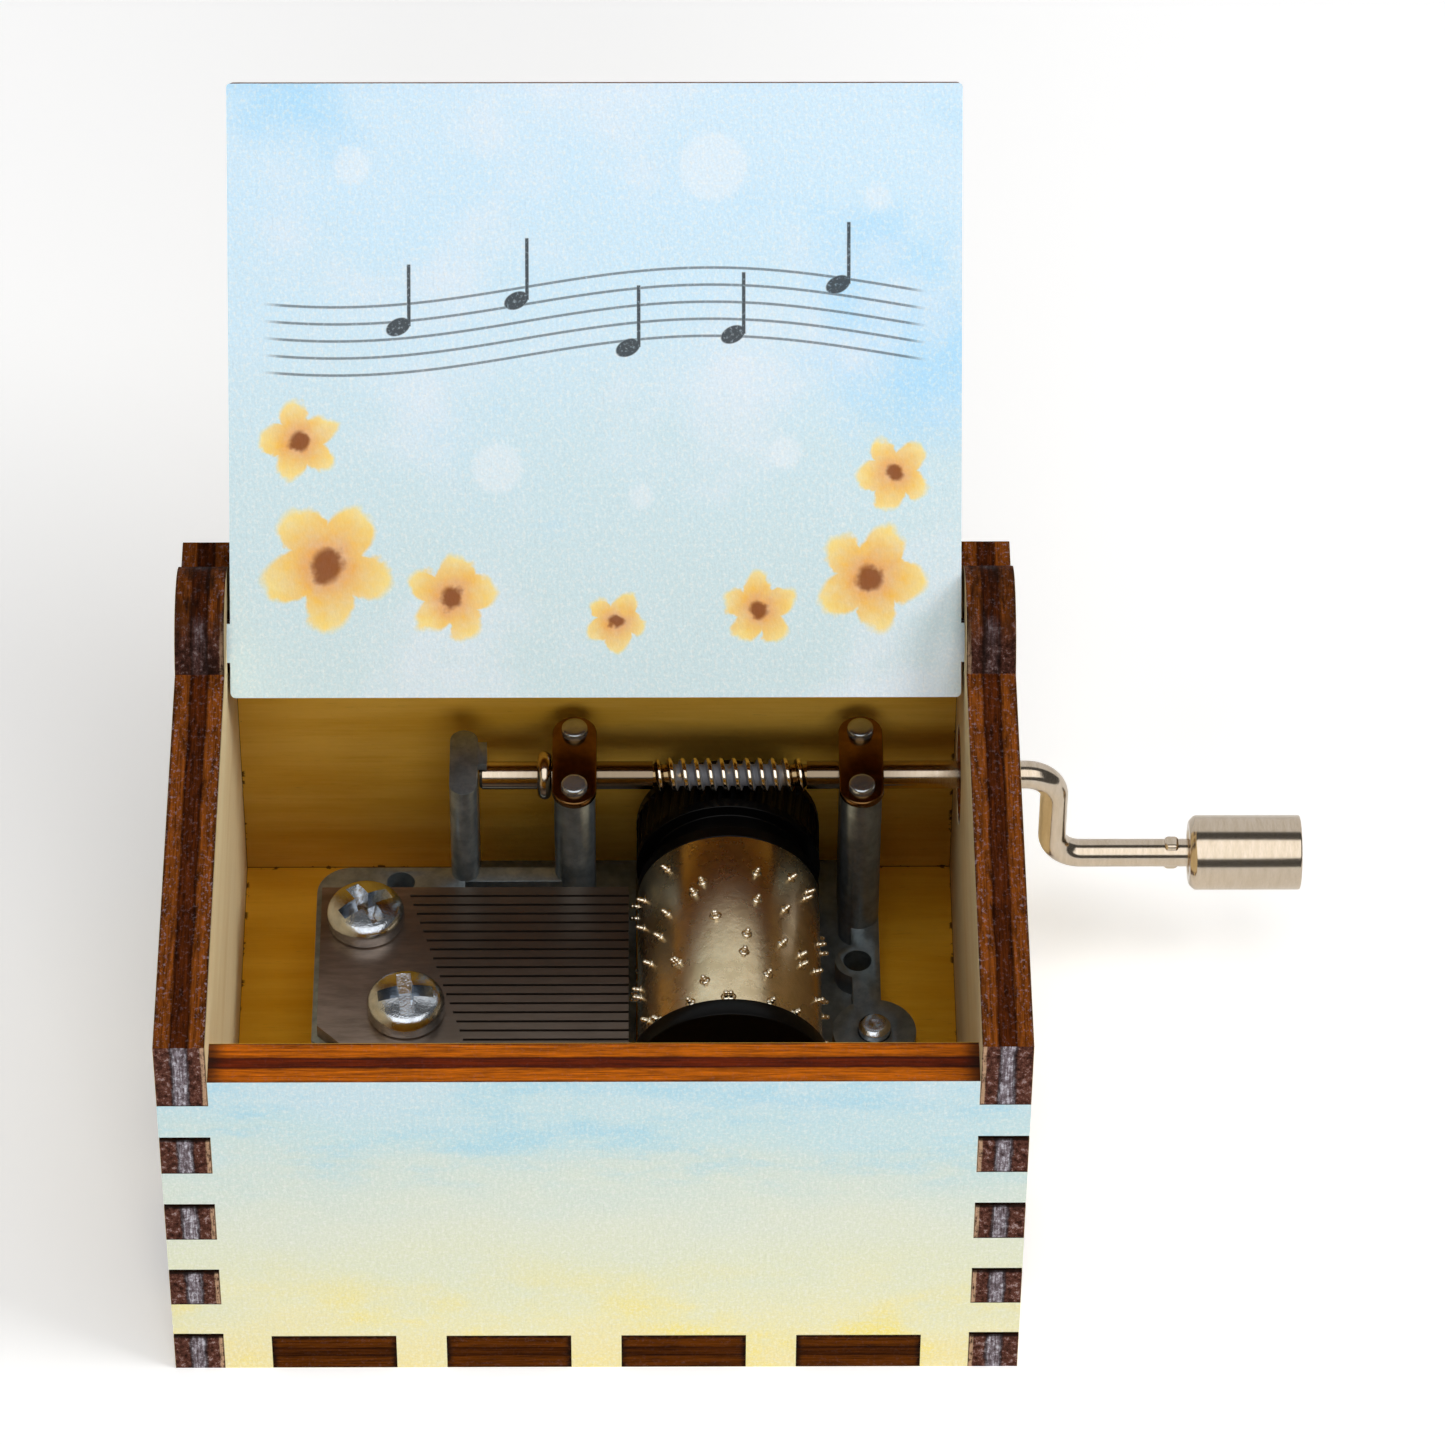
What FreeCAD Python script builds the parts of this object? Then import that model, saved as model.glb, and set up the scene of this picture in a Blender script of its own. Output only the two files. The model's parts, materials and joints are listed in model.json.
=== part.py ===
import FreeCAD, Part
import math
import os
from FreeCAD import Vector

# A hand-cranked music box: a finger-jointed plywood case with a hinged lid and an open comb movement.
# Millimetres. X points to the crank, Y to the back, Z up; the origin is the centre of the base.

# Case: laser-cut plywood panels
case_width = 64.0
case_depth = 52.0
side_height = 36.8
ply = 3.8
finger_height = 3.8
finger_slack = 0.3
finger_land = 1.0
bottom_tab_length = 9.44
bottom_tab_gap = 3.8
front_tab_count = 4
side_tab_count = 3

# Lid: a panel with two pivot tabs that turn in holes in the sides
lid_lean = 40.0
lid_tail = 4.2
lid_side_gap = 0.24
lid_front_inset = 0.4
lid_tail_clearance = 0.49
lid_seat_gap = 0.08
lid_foot_corner = 0.4
lid_top_corner = 0.3
pivot_tab_height = 3.0
pivot_tab_recess = 0.25
pivot_clearance = 0.08
knuckle_wall = 3.2

# Drive: a one-start worm on the crank wire turns the cylinder's wheel
worm_pitch = 1.0
worm_core_radius = 0.85
worm_depth = 0.5
worm_turns = 11
worm_sides = 10
wheel_teeth = 44
wheel_face = 5.0
wheel_neck_length = 3.05
wheel_neck_step = 0.5
flank_angle = 20.0
flank_clearance = 0.08
gap_margin = 0.3
mesh_clearance = 0.07

# Crank wire and its knob
wire_radius = 1.1
running_clearance = 0.05
journal_length = 5.85
thrust_gap = 0.1
crank_throw = 9.0
crank_arm_gap = 2.63
crank_bend_radius = 2.3
crank_handle_run = 10.82
crimp_length = 1.1
crimp_gap = 0.8
crimp_height = 2.7
crimp_width = 1.3
crank_hole_clearance = 2.85
collar_radius = 1.9
collar_length = 1.1
collar_gap = 0.22
knob_radius = 2.95
knob_length = 8.8
knob_chamfer = 0.45
knob_recess_radius = 1.75
knob_recess_depth = 0.7
knob_clearance = 0.08
rivet_end_radius = 1.5
rivet_end_height = 0.7

# Cylinder: a pinned sleeve between a front flange and the wheel
cylinder_from_wall = 17.95
cylinder_floor_gap = 1.6
sleeve_radius = 7.1
sleeve_wall = 0.45
sleeve_margin = 0.35
spigot_length = 3.0
spigot_clearance = 0.02
flange_lip = 0.7
flange_thickness = 1.6
axle_radius = 1.0
axle_end_play = 0.3
pin_radius = 0.2
pin_height = 0.65
pin_beats = 42

# Comb
tooth_count = 18
tooth_pitch = 0.93
slot_width = 0.22
tooth_thickness = 0.7
tooth_gap = 0.1
comb_thickness = 1.2
comb_above_axis = 1.65
comb_length = 23.9
long_tooth = 17.3
short_tooth = 12.4
comb_chamfer = 2.4
weight_count = 8
weight_depth = 0.9
weight_length = 2.6
weight_step = 0.18
weight_setback = 0.9

# Screws
comb_screw_radius = 1.45
comb_screw_head_radius = 3.0
comb_screw_head_height = 2.3
comb_screw_rear_reach = 20.4
comb_screw_rear_inset = 3.46
comb_screw_front_reach = 17.1
comb_screw_front_inset = 12.82
cross_recess_width = 0.9
cross_recess_length = 4.2
cross_recess_depth = 1.3
screw_clearance = 0.06
mount_screw_radius = 1.25
mount_screw_head_radius = 2.4
mount_screw_head_depth = 1.3
mount_screw_recess = 0.15
mount_screw_end = 0.9

# Bedplate: one zinc casting
back_margin = 1.85
bed_thickness = 2.5
bed_inner_gap = 0.15
bed_front_width = 3.0
deck_lip = 0.45
deck_thickness = 2.0
deck_wall = 1.6
deck_corner = 2.7
deck_bar_width = 1.5
deck_hole_radius = 1.1
deck_hole_offset = 0.1
post_width = 3.15
post_depth = 9.12
post_gap = 1.55
left_post_offset = 12.0
thrust_thickness = 2.15
thrust_front = 4.2
thrust_back = 2.66
thrust_rise = 2.3
thrust_lip = 0.6
thrust_lip_rise = 0.6
axle_post_thickness = 2.0
axle_post_wall = 1.8
arm_height = 4.6
arm_width = 2.2
arm_lug_radius = 1.75
arm_lug_hole_radius = 1.1
arm_lug_offset = 7.88
boss_radius = 3.25
boss_offset = 15.2
boss_shift = 1.0

# Bearing caps
cap_thickness = 0.6
cap_overhang = 0.16
cap_rivet_spacing = 6.0
cap_rivet_head_radius = 1.03
cap_rivet_head_height = 0.6

# Places worked out from the sizes above
wall_x = case_width / 2 - ply
wall_y = case_depth / 2 - ply
front_height = side_height - ply
pivot_radius = math.hypot(pivot_tab_height, ply) / 2
pivot_hole_radius = pivot_radius + pivot_clearance
pivot_wall_gap = math.hypot(lid_tail, ply / 2) + lid_tail_clearance
pivot_y = wall_y - pivot_wall_gap
pivot_z = front_height + ply / 2 + lid_seat_gap
lid_width = 2 * (wall_x - lid_side_gap)
lid_reach = pivot_y + case_depth / 2 - lid_front_inset
lean = math.radians(lid_lean)
lid_rest_rise = (pivot_wall_gap * math.cos(lean) - ply / 2 - lid_seat_gap) / math.sin(lean)
back_height = pivot_z + lid_rest_rise

wheel_pitch_radius = wheel_teeth * worm_pitch / (2 * math.pi)
worm_pitch_radius = worm_core_radius + worm_depth / 2
worm_radius = worm_core_radius + worm_depth
centre_distance = wheel_pitch_radius + worm_pitch_radius
wheel_tip_radius = centre_distance - worm_core_radius - mesh_clearance
wheel_root_radius = centre_distance - worm_radius - mesh_clearance
half_tooth = (worm_pitch / 2 - flank_clearance) / 2
flank_slope = math.tan(math.radians(flank_angle))

pin_tip_radius = sleeve_radius + pin_height
flange_radius = sleeve_radius + flange_lip
cylinder_x = wall_x - cylinder_from_wall
cylinder_z = ply + max(flange_radius, pin_tip_radius) + cylinder_floor_gap
shaft_y = wall_y - back_margin - post_depth / 2
shaft_z = cylinder_z + centre_distance
shaft_top = shaft_z + wire_radius + running_clearance

comb_width = tooth_count * tooth_pitch
wheel_front_y = shaft_y - wheel_face / 2
wheel_back_y = shaft_y + wheel_face / 2
sleeve_back_y = wheel_front_y - wheel_neck_length
sleeve_front_y = sleeve_back_y - comb_width - 2 * sleeve_margin
flange_front_y = sleeve_front_y - flange_thickness
comb_back_y = sleeve_back_y - sleeve_margin
comb_front_y = comb_back_y - comb_width
comb_top = cylinder_z + comb_above_axis
deck_top = comb_top - comb_thickness
tip_radius = pin_tip_radius + tooth_gap
tip_x = cylinder_x - math.sqrt(tip_radius ** 2 - (comb_above_axis - tooth_thickness) ** 2)
comb_left_x = tip_x - comb_length
comb_screw_places = [
    Vector(tip_x - comb_screw_rear_reach, comb_back_y - comb_screw_rear_inset, 0),
    Vector(tip_x - comb_screw_front_reach, comb_back_y - comb_screw_front_inset, 0),
]

left_post_x = cylinder_x - left_post_offset
right_post_x = cylinder_x + wheel_tip_radius + post_gap + post_width / 2
shaft_left_x = left_post_x - post_width / 2 - journal_length
thrust_x = shaft_left_x - thrust_gap
arm_top = ply + arm_height
arm_x = right_post_x + post_width / 2 - arm_width / 2
boss_x = right_post_x + boss_shift
boss_y = shaft_y - boss_offset
deck_left_x = comb_left_x - deck_lip
deck_front_y = comb_front_y - deck_lip
deck_bar_front_y = shaft_y - thrust_front
deck_back_y = deck_bar_front_y + deck_bar_width
left_boss_x = deck_left_x + boss_radius
mount_places = [Vector(left_boss_x, boss_y, 0), Vector(boss_x, boss_y, 0)]

crank_arm_x = case_width / 2 + crank_arm_gap + wire_radius
worm_start_x = cylinder_x - (worm_turns // 2 + 0.5) * worm_pitch
worm_end_x = worm_start_x + (worm_turns + 1) * worm_pitch
knob_x = crank_arm_x + crank_handle_run
handle_z = shaft_z - crank_throw
crank_hole_radius = wire_radius + crank_hole_clearance


def block(x0, x1, y0, y1, z0, z1):
    return Part.makeBox(x1 - x0, y1 - y0, z1 - z0, Vector(x0, y0, z0))


def rod(radius, start, end):
    along = end - start
    return Part.makeCylinder(radius, along.Length, start, along)


def prism(points, direction):
    return Part.Face(Part.makePolygon(points + [points[0]])).extrude(direction)


def turned(profile, centre, axis):
    """A solid of revolution: profile lists (radius, distance along the axis)."""
    side = Vector(0, 0, 1) if abs(axis.z) < 0.5 else Vector(1, 0, 0)
    points = [centre + side * r + axis * s for r, s in profile]
    face = Part.Face(Part.makePolygon(points + [points[0]]))
    return face.revolve(centre, axis, 360)


def stadium(x, y, width, depth, z0, z1):
    """An upright bar whose plan is a rectangle with half-round front and back ends."""
    straight = (depth - width) / 2
    middle = block(x - width / 2, x + width / 2, y - straight, y + straight, z0, z1)
    ends = []
    for end_y in (y - straight, y + straight):
        ends.append(rod(width / 2, Vector(x, end_y, z0), Vector(x, end_y, z1)))
    return middle.multiFuse(ends).removeSplitter()


def spans(count, length, gap):
    """Start and end of equal tabs, centred on zero."""
    start = -(count * length + (count - 1) * gap) / 2
    return [(start + i * (length + gap), start + i * (length + gap) + length) for i in range(count)]


def finger_spans():
    """Heights of the notches in the sides that take the front and back panels' fingers."""
    count = int((front_height - ply + finger_height - finger_land) // (2 * finger_height))
    return [(ply + 2 * i * finger_height, ply + (2 * i + 1) * finger_height) for i in range(count)]


def bottom_panel():
    panel = block(-wall_x, wall_x, -wall_y, wall_y, 0, ply)
    tabs = []
    for a, b in spans(front_tab_count, bottom_tab_length, bottom_tab_gap):
        tabs.append(block(a, b, -case_depth / 2, case_depth / 2, 0, ply))
    for a, b in spans(side_tab_count, bottom_tab_length, bottom_tab_gap):
        tabs.append(block(-case_width / 2, case_width / 2, a, b, 0, ply))
    panel = panel.multiFuse(tabs).removeSplitter()
    for place in mount_places:
        panel = panel.cut(mount_screw(place, screw_clearance, -mount_screw_recess))
    return panel


def wall_panel(y0, height):
    """Front or back panel: full width at its fingers, which leave a burnt slit under each one."""
    panel = block(-case_width / 2, case_width / 2, y0, y0 + ply, 0, height)
    cuts = []
    tops = [0] + [b for a, b in finger_spans()]
    ends = [a + finger_slack for a, b in finger_spans()] + [height]
    for side in (-1, 1):
        x0, x1 = sorted((side * wall_x, side * case_width / 2))
        for z0, z1 in zip(tops, ends):
            cuts.append(block(x0, x1, y0, y0 + ply, z0, z1))
    for a, b in spans(front_tab_count, bottom_tab_length, bottom_tab_gap):
        cuts.append(block(a, b, y0, y0 + ply, 0, ply))
    return panel.cut(Part.Compound(cuts))


def side_panel(x0, has_crank_hole):
    """Side panel: a round knuckle on the top edge carries the lid's pivot."""
    half = case_depth / 2
    knuckle_radius = pivot_hole_radius + knuckle_wall
    rise = side_height - pivot_z
    foot = math.sqrt(knuckle_radius ** 2 - rise ** 2)

    def point(y, z):
        return Vector(x0, y, z)

    crown = Part.Arc(
        point(pivot_y + foot, side_height),
        point(pivot_y, pivot_z + knuckle_radius),
        point(pivot_y - foot, side_height),
    )
    before = [point(-half, side_height), point(-half, 0), point(half, 0), point(half, side_height)]
    corners = [point(pivot_y - foot, side_height)] + before + [point(pivot_y + foot, side_height)]
    edges = [Part.makeLine(a, b) for a, b in zip(corners, corners[1:])] + [crown.toShape()]
    panel = Part.Face(Part.Wire(edges)).extrude(Vector(ply, 0, 0))
    cuts = [rod(pivot_hole_radius, point(pivot_y, pivot_z), Vector(x0 + ply, pivot_y, pivot_z))]
    for z0, z1 in finger_spans():
        cuts.append(block(x0, x0 + ply, -half, -wall_y, z0, z1))
        cuts.append(block(x0, x0 + ply, wall_y, half, z0, z1))
    for a, b in spans(side_tab_count, bottom_tab_length, bottom_tab_gap):
        cuts.append(block(x0, x0 + ply, a, b, 0, ply))
    if has_crank_hole:
        cuts.append(rod(crank_hole_radius, point(shaft_y, shaft_z), Vector(x0 + ply, shaft_y, shaft_z)))
    return panel.cut(Part.Compound(cuts))


def lid_panel():
    """The lid, drawn upright about its pivot line and then leaned back."""
    panel = block(-lid_width / 2, lid_width / 2, -ply / 2, ply / 2, -lid_tail, lid_reach)
    corners = [e for e in panel.Edges if abs(e.tangentAt(e.FirstParameter).y) > 0.9]
    panel = panel.makeFillet(lid_foot_corner, [e for e in corners if e.CenterOfMass.z < 0])
    corners = [e for e in panel.Edges if abs(e.tangentAt(e.FirstParameter).y) > 0.9]
    panel = panel.makeFillet(lid_top_corner, [e for e in corners if e.CenterOfMass.z > 0])
    reach = case_width / 2 - pivot_tab_recess
    tab = block(-reach, reach, -ply / 2, ply / 2, -pivot_tab_height / 2, pivot_tab_height / 2)
    panel = panel.fuse(tab).removeSplitter()
    panel.rotate(Vector(0, 0, 0), Vector(1, 0, 0), -lid_lean)
    panel.translate(Vector(0, pivot_y, pivot_z))
    return panel


def worm():
    """Worm of flat facets: a many-sided core and a helical ridge that crosses the wheel's centre line."""
    buried = worm_core_radius * 0.85
    profile = []
    for radius, side in ((buried, -1), (worm_radius, -1), (worm_radius, 1), (buried, 1)):
        profile.append((radius, side * (half_tooth + (worm_pitch_radius - radius) * flank_slope)))
    start = cylinder_x - (worm_turns // 2) * worm_pitch

    def corner(step, k):
        angle = 2 * math.pi * step / worm_sides
        radius, along = profile[k % 4]
        x = start + worm_pitch * step / worm_sides + along
        return Vector(x, shaft_y + radius * math.sin(angle), shaft_z - radius * math.cos(angle))

    faces = []

    def facet(*points):
        faces.append(Part.Face(Part.makePolygon(list(points) + [points[0]])))

    last = worm_turns * worm_sides
    for step in range(last):
        for k in range(4):
            facet(corner(step, k), corner(step + 1, k), corner(step + 1, k + 1))
            facet(corner(step, k), corner(step + 1, k + 1), corner(step, k + 1))
    for step in (0, last):
        facet(*[corner(step, k) for k in range(4)])
    ridge = Part.Solid(Part.Shell(faces))
    if ridge.Volume < 0:
        ridge.reverse()
    ring = []
    for k in range(worm_sides):
        angle = 2 * math.pi * k / worm_sides
        ring.append(Vector(worm_start_x, shaft_y + worm_core_radius * math.sin(angle),
                           shaft_z - worm_core_radius * math.cos(angle)))
    return prism(ring, Vector(worm_end_x - worm_start_x, 0, 0)).fuse(ridge)


def crank_shaft():
    """One bent wire: journal, rolled worm, arm, handle run with its crimp and riveted end."""
    def point(x, z):
        return Vector(x, shaft_y, z)

    bend = crank_bend_radius
    slant = bend * (1 - math.sqrt(0.5))
    arm = crank_arm_x
    knob_end = knob_x + knob_length - knob_recess_depth
    top_bend = Part.Arc(
        point(arm - bend, shaft_z), point(arm - slant, shaft_z - slant), point(arm, shaft_z - bend),
    )
    low_bend = Part.Arc(
        point(arm, handle_z + bend), point(arm + slant, handle_z + slant), point(arm + bend, handle_z),
    )
    path = Part.Wire([
        Part.makeLine(point(worm_end_x, shaft_z), point(arm - bend, shaft_z)),
        top_bend.toShape(),
        Part.makeLine(point(arm, shaft_z - bend), point(arm, handle_z + bend)),
        low_bend.toShape(),
        Part.makeLine(point(arm + bend, handle_z), point(knob_end, handle_z)),
    ])
    section = Part.Wire(Part.makeCircle(wire_radius, point(worm_end_x, shaft_z), Vector(1, 0, 0)))
    wire = path.makePipeShell([section], True, False)
    crimp_x = knob_x - crimp_gap
    crimp = block(
        crimp_x - crimp_length, crimp_x,
        shaft_y - crimp_width / 2, shaft_y + crimp_width / 2,
        handle_z - crimp_height / 2, handle_z + crimp_height / 2,
    )
    head = rod(rivet_end_radius, point(knob_end, handle_z), point(knob_end + rivet_end_height, handle_z))
    journal = rod(wire_radius, point(shaft_left_x, shaft_z), point(worm_start_x, shaft_z))
    return wire.multiFuse([crimp, head, journal, worm()])


def shaft_collar():
    """Collar pressed on the shaft beside the left bearing."""
    face = Vector(left_post_x - post_width / 2 - collar_gap, shaft_y, shaft_z)
    start = face - Vector(collar_length, 0, 0)
    return rod(collar_radius, start, face).cut(rod(wire_radius, start, face))


def crank_knob():
    """Turned sleeve that spins on the wire's end, recessed at both ends."""
    bore = wire_radius + knob_clearance
    inner = knob_recess_depth
    profile = [
        (bore, inner), (knob_recess_radius, inner), (knob_recess_radius, 0),
        (knob_radius - knob_chamfer, 0), (knob_radius, knob_chamfer),
        (knob_radius, knob_length), (knob_recess_radius, knob_length),
        (knob_recess_radius, knob_length - inner - knob_clearance),
        (bore, knob_length - inner - knob_clearance),
    ]
    return turned(profile, Vector(knob_x, shaft_y, handle_z), Vector(1, 0, 0))


def axis_point(y):
    return Vector(cylinder_x, y, cylinder_z)


def cylinder_sleeve():
    outer = rod(sleeve_radius, axis_point(sleeve_front_y), axis_point(sleeve_back_y))
    return outer.cut(rod(sleeve_radius - sleeve_wall, axis_point(sleeve_front_y), axis_point(sleeve_back_y)))


def pin_place(beat, voice):
    """Tooth and angle of one pin: a made-up run of notes over a slower part."""
    turn = 360.0 * beat / pin_beats
    if voice == 0:
        return (5 * beat + beat * beat // 3) % tooth_count, turn
    return (7 * beat + beat // 4) % tooth_count, turn + (beat * 5 % 7 - 3) * 40.0 / pin_beats


def cylinder_pins():
    """Six-sided steel pins pressed through the sleeve, each in line with its comb tooth."""
    foot = sleeve_radius - sleeve_wall
    ring = [Vector(pin_radius * math.cos(k * math.pi / 3), pin_radius * math.sin(k * math.pi / 3), foot)
            for k in range(6)]
    pin = prism(ring, Vector(0, 0, pin_tip_radius - foot))
    pins = []
    for beat in range(pin_beats):
        for voice in (0, 1):
            tooth, angle = pin_place(beat, voice)
            copy = pin.copy()
            copy.rotate(Vector(0, 0, 0), Vector(0, 1, 0), angle)
            copy.translate(axis_point(comb_front_y + (tooth + 0.5) * tooth_pitch))
            pins.append(copy)
    return Part.Compound(pins)


def wheel_slot():
    """One oblique tooth gap at the top of the wheel, as wide as the worm's ridge, closed at both ends."""
    half = worm_pitch / 2 - half_tooth
    corners = []
    for radius in (wheel_root_radius, wheel_tip_radius + mesh_clearance):
        corners.append(Vector(half + (radius - wheel_pitch_radius) * flank_slope, -wheel_face, radius))
    corners += [Vector(-p.x, p.y, p.z) for p in reversed(corners)]
    slot = prism(corners, Vector(0, 2 * wheel_face, 0))
    lead = math.degrees(math.atan(worm_pitch / (2 * math.pi * worm_pitch_radius)))
    slot.rotate(Vector(0, 0, 0), Vector(0, 0, 1), -lead)
    room = 2 * worm_pitch
    reach = min(wheel_face / 2, worm_radius + gap_margin)
    return slot.common(block(-room, room, -reach, reach, 0, 2 * wheel_tip_radius))


def worm_wheel():
    """Wheel with oblique straight gaps and flat tooth tips, a neck, and a spigot inside the sleeve."""
    corner = wheel_tip_radius / math.cos(math.pi / wheel_teeth)
    rim = []
    for k in range(wheel_teeth):
        angle = 2 * math.pi * k / wheel_teeth
        rim.append(axis_point(wheel_front_y) + Vector(corner * math.sin(angle), 0, corner * math.cos(angle)))
    wheel = prism(rim, Vector(0, wheel_face, 0))
    gaps = []
    for k in range(wheel_teeth):
        gap = wheel_slot()
        gap.rotate(Vector(0, 0, 0), Vector(0, 1, 0), 360.0 * k / wheel_teeth)
        gap.translate(axis_point(shaft_y))
        gaps.append(gap)
    wheel = wheel.cut(Part.Compound(gaps))
    neck = wheel_root_radius - wheel_neck_step
    bore = sleeve_radius - sleeve_wall - spigot_clearance
    front = wheel_front_y - sleeve_back_y
    hub = turned([
        (0, -spigot_length), (bore, -spigot_length), (bore, 0), (sleeve_radius, 0),
        (sleeve_radius, front / 3), (neck, front / 3), (neck, front), (0, front),
    ], axis_point(sleeve_back_y), Vector(0, 1, 0))
    axle = rod(axle_radius, axis_point(sleeve_front_y), axis_point(wheel_back_y + wheel_face))
    return wheel.fuse(hub).cut(axle)


def front_end_cap():
    """Flanged plug that closes the sleeve's front end."""
    bore = sleeve_radius - sleeve_wall - spigot_clearance
    profile = [
        (axle_radius, spigot_length), (bore, spigot_length), (bore, 0), (flange_radius, 0),
        (flange_radius, -flange_thickness), (axle_radius, -flange_thickness),
    ]
    return turned(profile, axis_point(sleeve_front_y), Vector(0, 1, 0))


def cylinder_axle():
    end = axle_end_play + axle_post_thickness
    return rod(axle_radius, axis_point(flange_front_y - end), axis_point(wheel_back_y + end))


def comb_slot_x(y):
    """Where a slot starts: the teeth grow longer towards the back."""
    share = (y - comb_front_y) / comb_width
    return tip_x - short_tooth - (long_tooth - short_tooth) * share


def comb():
    """Tuned steel comb: a thick root plate with thinner teeth cut by saw slots."""
    front, back = comb_front_y, comb_back_y
    outline = [
        Vector(comb_left_x + comb_chamfer, front, comb_top), Vector(tip_x, front, comb_top),
        Vector(tip_x, back, comb_top), Vector(comb_left_x, back, comb_top),
        Vector(comb_left_x, front + comb_chamfer, comb_top),
    ]
    plate = prism(outline, Vector(0, 0, -comb_thickness))
    under = comb_top - tooth_thickness
    relief = prism([
        Vector(comb_slot_x(front) - slot_width, front, under), Vector(tip_x, front, under),
        Vector(tip_x, back, under), Vector(comb_slot_x(back) - slot_width, back, under),
    ], Vector(0, 0, -comb_thickness))
    cuts = [relief]
    for i in range(1, tooth_count):
        y = front + i * tooth_pitch
        side = slot_width / 2
        cuts.append(block(comb_slot_x(y), tip_x, y - side, y + side, deck_top, comb_top))
    hole = comb_screw_radius + screw_clearance
    for place in comb_screw_places:
        cuts.append(rod(hole, place + Vector(0, 0, deck_top), place + Vector(0, 0, comb_top)))
    return plate.cut(Part.Compound(cuts))


def comb_weights():
    """Lead weights under the long bass teeth, heavier towards the lowest note."""
    weights = []
    top = comb_top - tooth_thickness
    width = tooth_pitch - slot_width
    for i in range(weight_count):
        y = comb_back_y - (i + 0.5) * tooth_pitch
        end = tip_x - weight_setback
        start = end - weight_length + i * weight_step
        weights.append(block(start, end, y - width / 2, y + width / 2, top - weight_depth, top))
    return Part.Compound(weights)


def cross_recess(place, top):
    arms = []
    half = cross_recess_length / 2
    wide = cross_recess_width / 2
    for x, y in ((half, wide), (wide, half)):
        arms.append(block(place.x - x, place.x + x, place.y - y, place.y + y, top - cross_recess_depth, top))
    return arms[0].fuse(arms[1])


def comb_screws():
    """Two pan-head screws with cross recesses hold the comb to the deck."""
    screws = []
    depth = comb_thickness + deck_thickness
    profile = [
        (0, -depth), (comb_screw_radius, -depth), (comb_screw_radius, 0),
        (comb_screw_head_radius, 0), (comb_screw_head_radius, comb_screw_head_height),
        (0, comb_screw_head_height),
    ]
    for place in comb_screw_places:
        screw = turned(profile, place + Vector(0, 0, comb_top), Vector(0, 0, 1))
        screws.append(screw.cut(cross_recess(place, comb_top + comb_screw_head_height)))
    return Part.Compound(screws)


def mount_screw(place, extra, start):
    """Flat-headed screw from under the base; extra widens it for the hole that it needs."""
    head = mount_screw_head_radius + extra
    shank = mount_screw_radius + extra
    seat = mount_screw_recess + mount_screw_head_depth
    end = arm_top + mount_screw_end
    profile = [(0, start), (head, start), (head, seat), (shank, seat), (shank, end), (0, end)]
    return turned(profile, place, Vector(0, 0, 1))


def mounting_screws():
    """Two screws that hold the bedplate to the base, their heads sunk below it."""
    return Part.Compound([mount_screw(place, 0, mount_screw_recess) for place in mount_places])


def bearing_post(x):
    """Post from the base up to the shaft, with an open groove that the cap closes."""
    return stadium(x, shaft_y, post_width, post_depth, ply, shaft_top)


def shaft_groove(x):
    radius = wire_radius + running_clearance
    half = post_width
    round_part = rod(radius, Vector(x - half, shaft_y, shaft_z), Vector(x + half, shaft_y, shaft_z))
    return round_part.fuse(block(x - half, x + half, shaft_y - radius, shaft_y + radius, shaft_z, shaft_top))


def bearing_cap(x):
    """Thin strap over the shaft, staked to the top of its post."""
    wide = post_width + 2 * cap_overhang
    return stadium(x, shaft_y, wide, post_depth + 2 * cap_overhang, shaft_top, shaft_top + cap_thickness)


def bearing_cap_rivets():
    """Staked heads on the caps, two to each."""
    rivets = []
    for x in (left_post_x, right_post_x):
        for side in (-1, 1):
            foot = Vector(x, shaft_y + side * cap_rivet_spacing / 2, shaft_top + cap_thickness)
            rivets.append(rod(cap_rivet_head_radius, foot, foot + Vector(0, 0, cap_rivet_head_height)))
    return Part.Compound(rivets)


def deck():
    """Raised comb seat: a tray open underneath, with a bar that runs to the left bearing post."""
    front_root = comb_slot_x(comb_front_y) - 2 * slot_width
    back_root = comb_slot_x(comb_back_y) - 2 * slot_width
    seat_y = comb_back_y + bed_inner_gap
    slab_x = thrust_x - thrust_thickness / 2
    corner = comb_chamfer

    def point(x, y):
        return Vector(x, y, ply)

    outline = [
        point(deck_left_x, deck_front_y + corner), point(deck_left_x + corner, deck_front_y),
        point(front_root, deck_front_y), point(back_root, comb_back_y),
        point(back_root, deck_bar_front_y), point(left_post_x, deck_bar_front_y),
        point(left_post_x, deck_back_y), point(deck_left_x, deck_back_y),
    ]
    limits = prism(outline, Vector(0, 0, deck_top - ply))
    inside = [
        point(deck_left_x + deck_wall, deck_front_y + corner + deck_wall / 2),
        point(deck_left_x + corner + deck_wall / 2, deck_front_y + deck_wall),
        point(front_root - deck_wall, deck_front_y + deck_wall),
        point(back_root - deck_wall, deck_back_y - deck_wall),
        point(deck_left_x + deck_wall, deck_back_y - deck_wall),
    ]
    body = limits.cut(prism(inside, Vector(0, 0, deck_top - deck_thickness - ply)))
    boss = rod(boss_radius, mount_places[0] + Vector(0, 0, ply), mount_places[0] + Vector(0, 0, arm_top))
    under = deck_top - deck_thickness
    web_back_y = deck_bar_front_y + deck_bar_width / 2
    web = block(back_root - deck_wall / 2, slab_x, seat_y, web_back_y, under, deck_top)
    hole_x = back_root - deck_hole_offset
    hole_y = (comb_back_y + deck_back_y) / 2
    hole = rod(deck_hole_radius, Vector(hole_x, hole_y, ply), Vector(hole_x, hole_y, deck_top))
    return body.multiFuse([boss.common(limits), web]).cut(hole)


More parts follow.
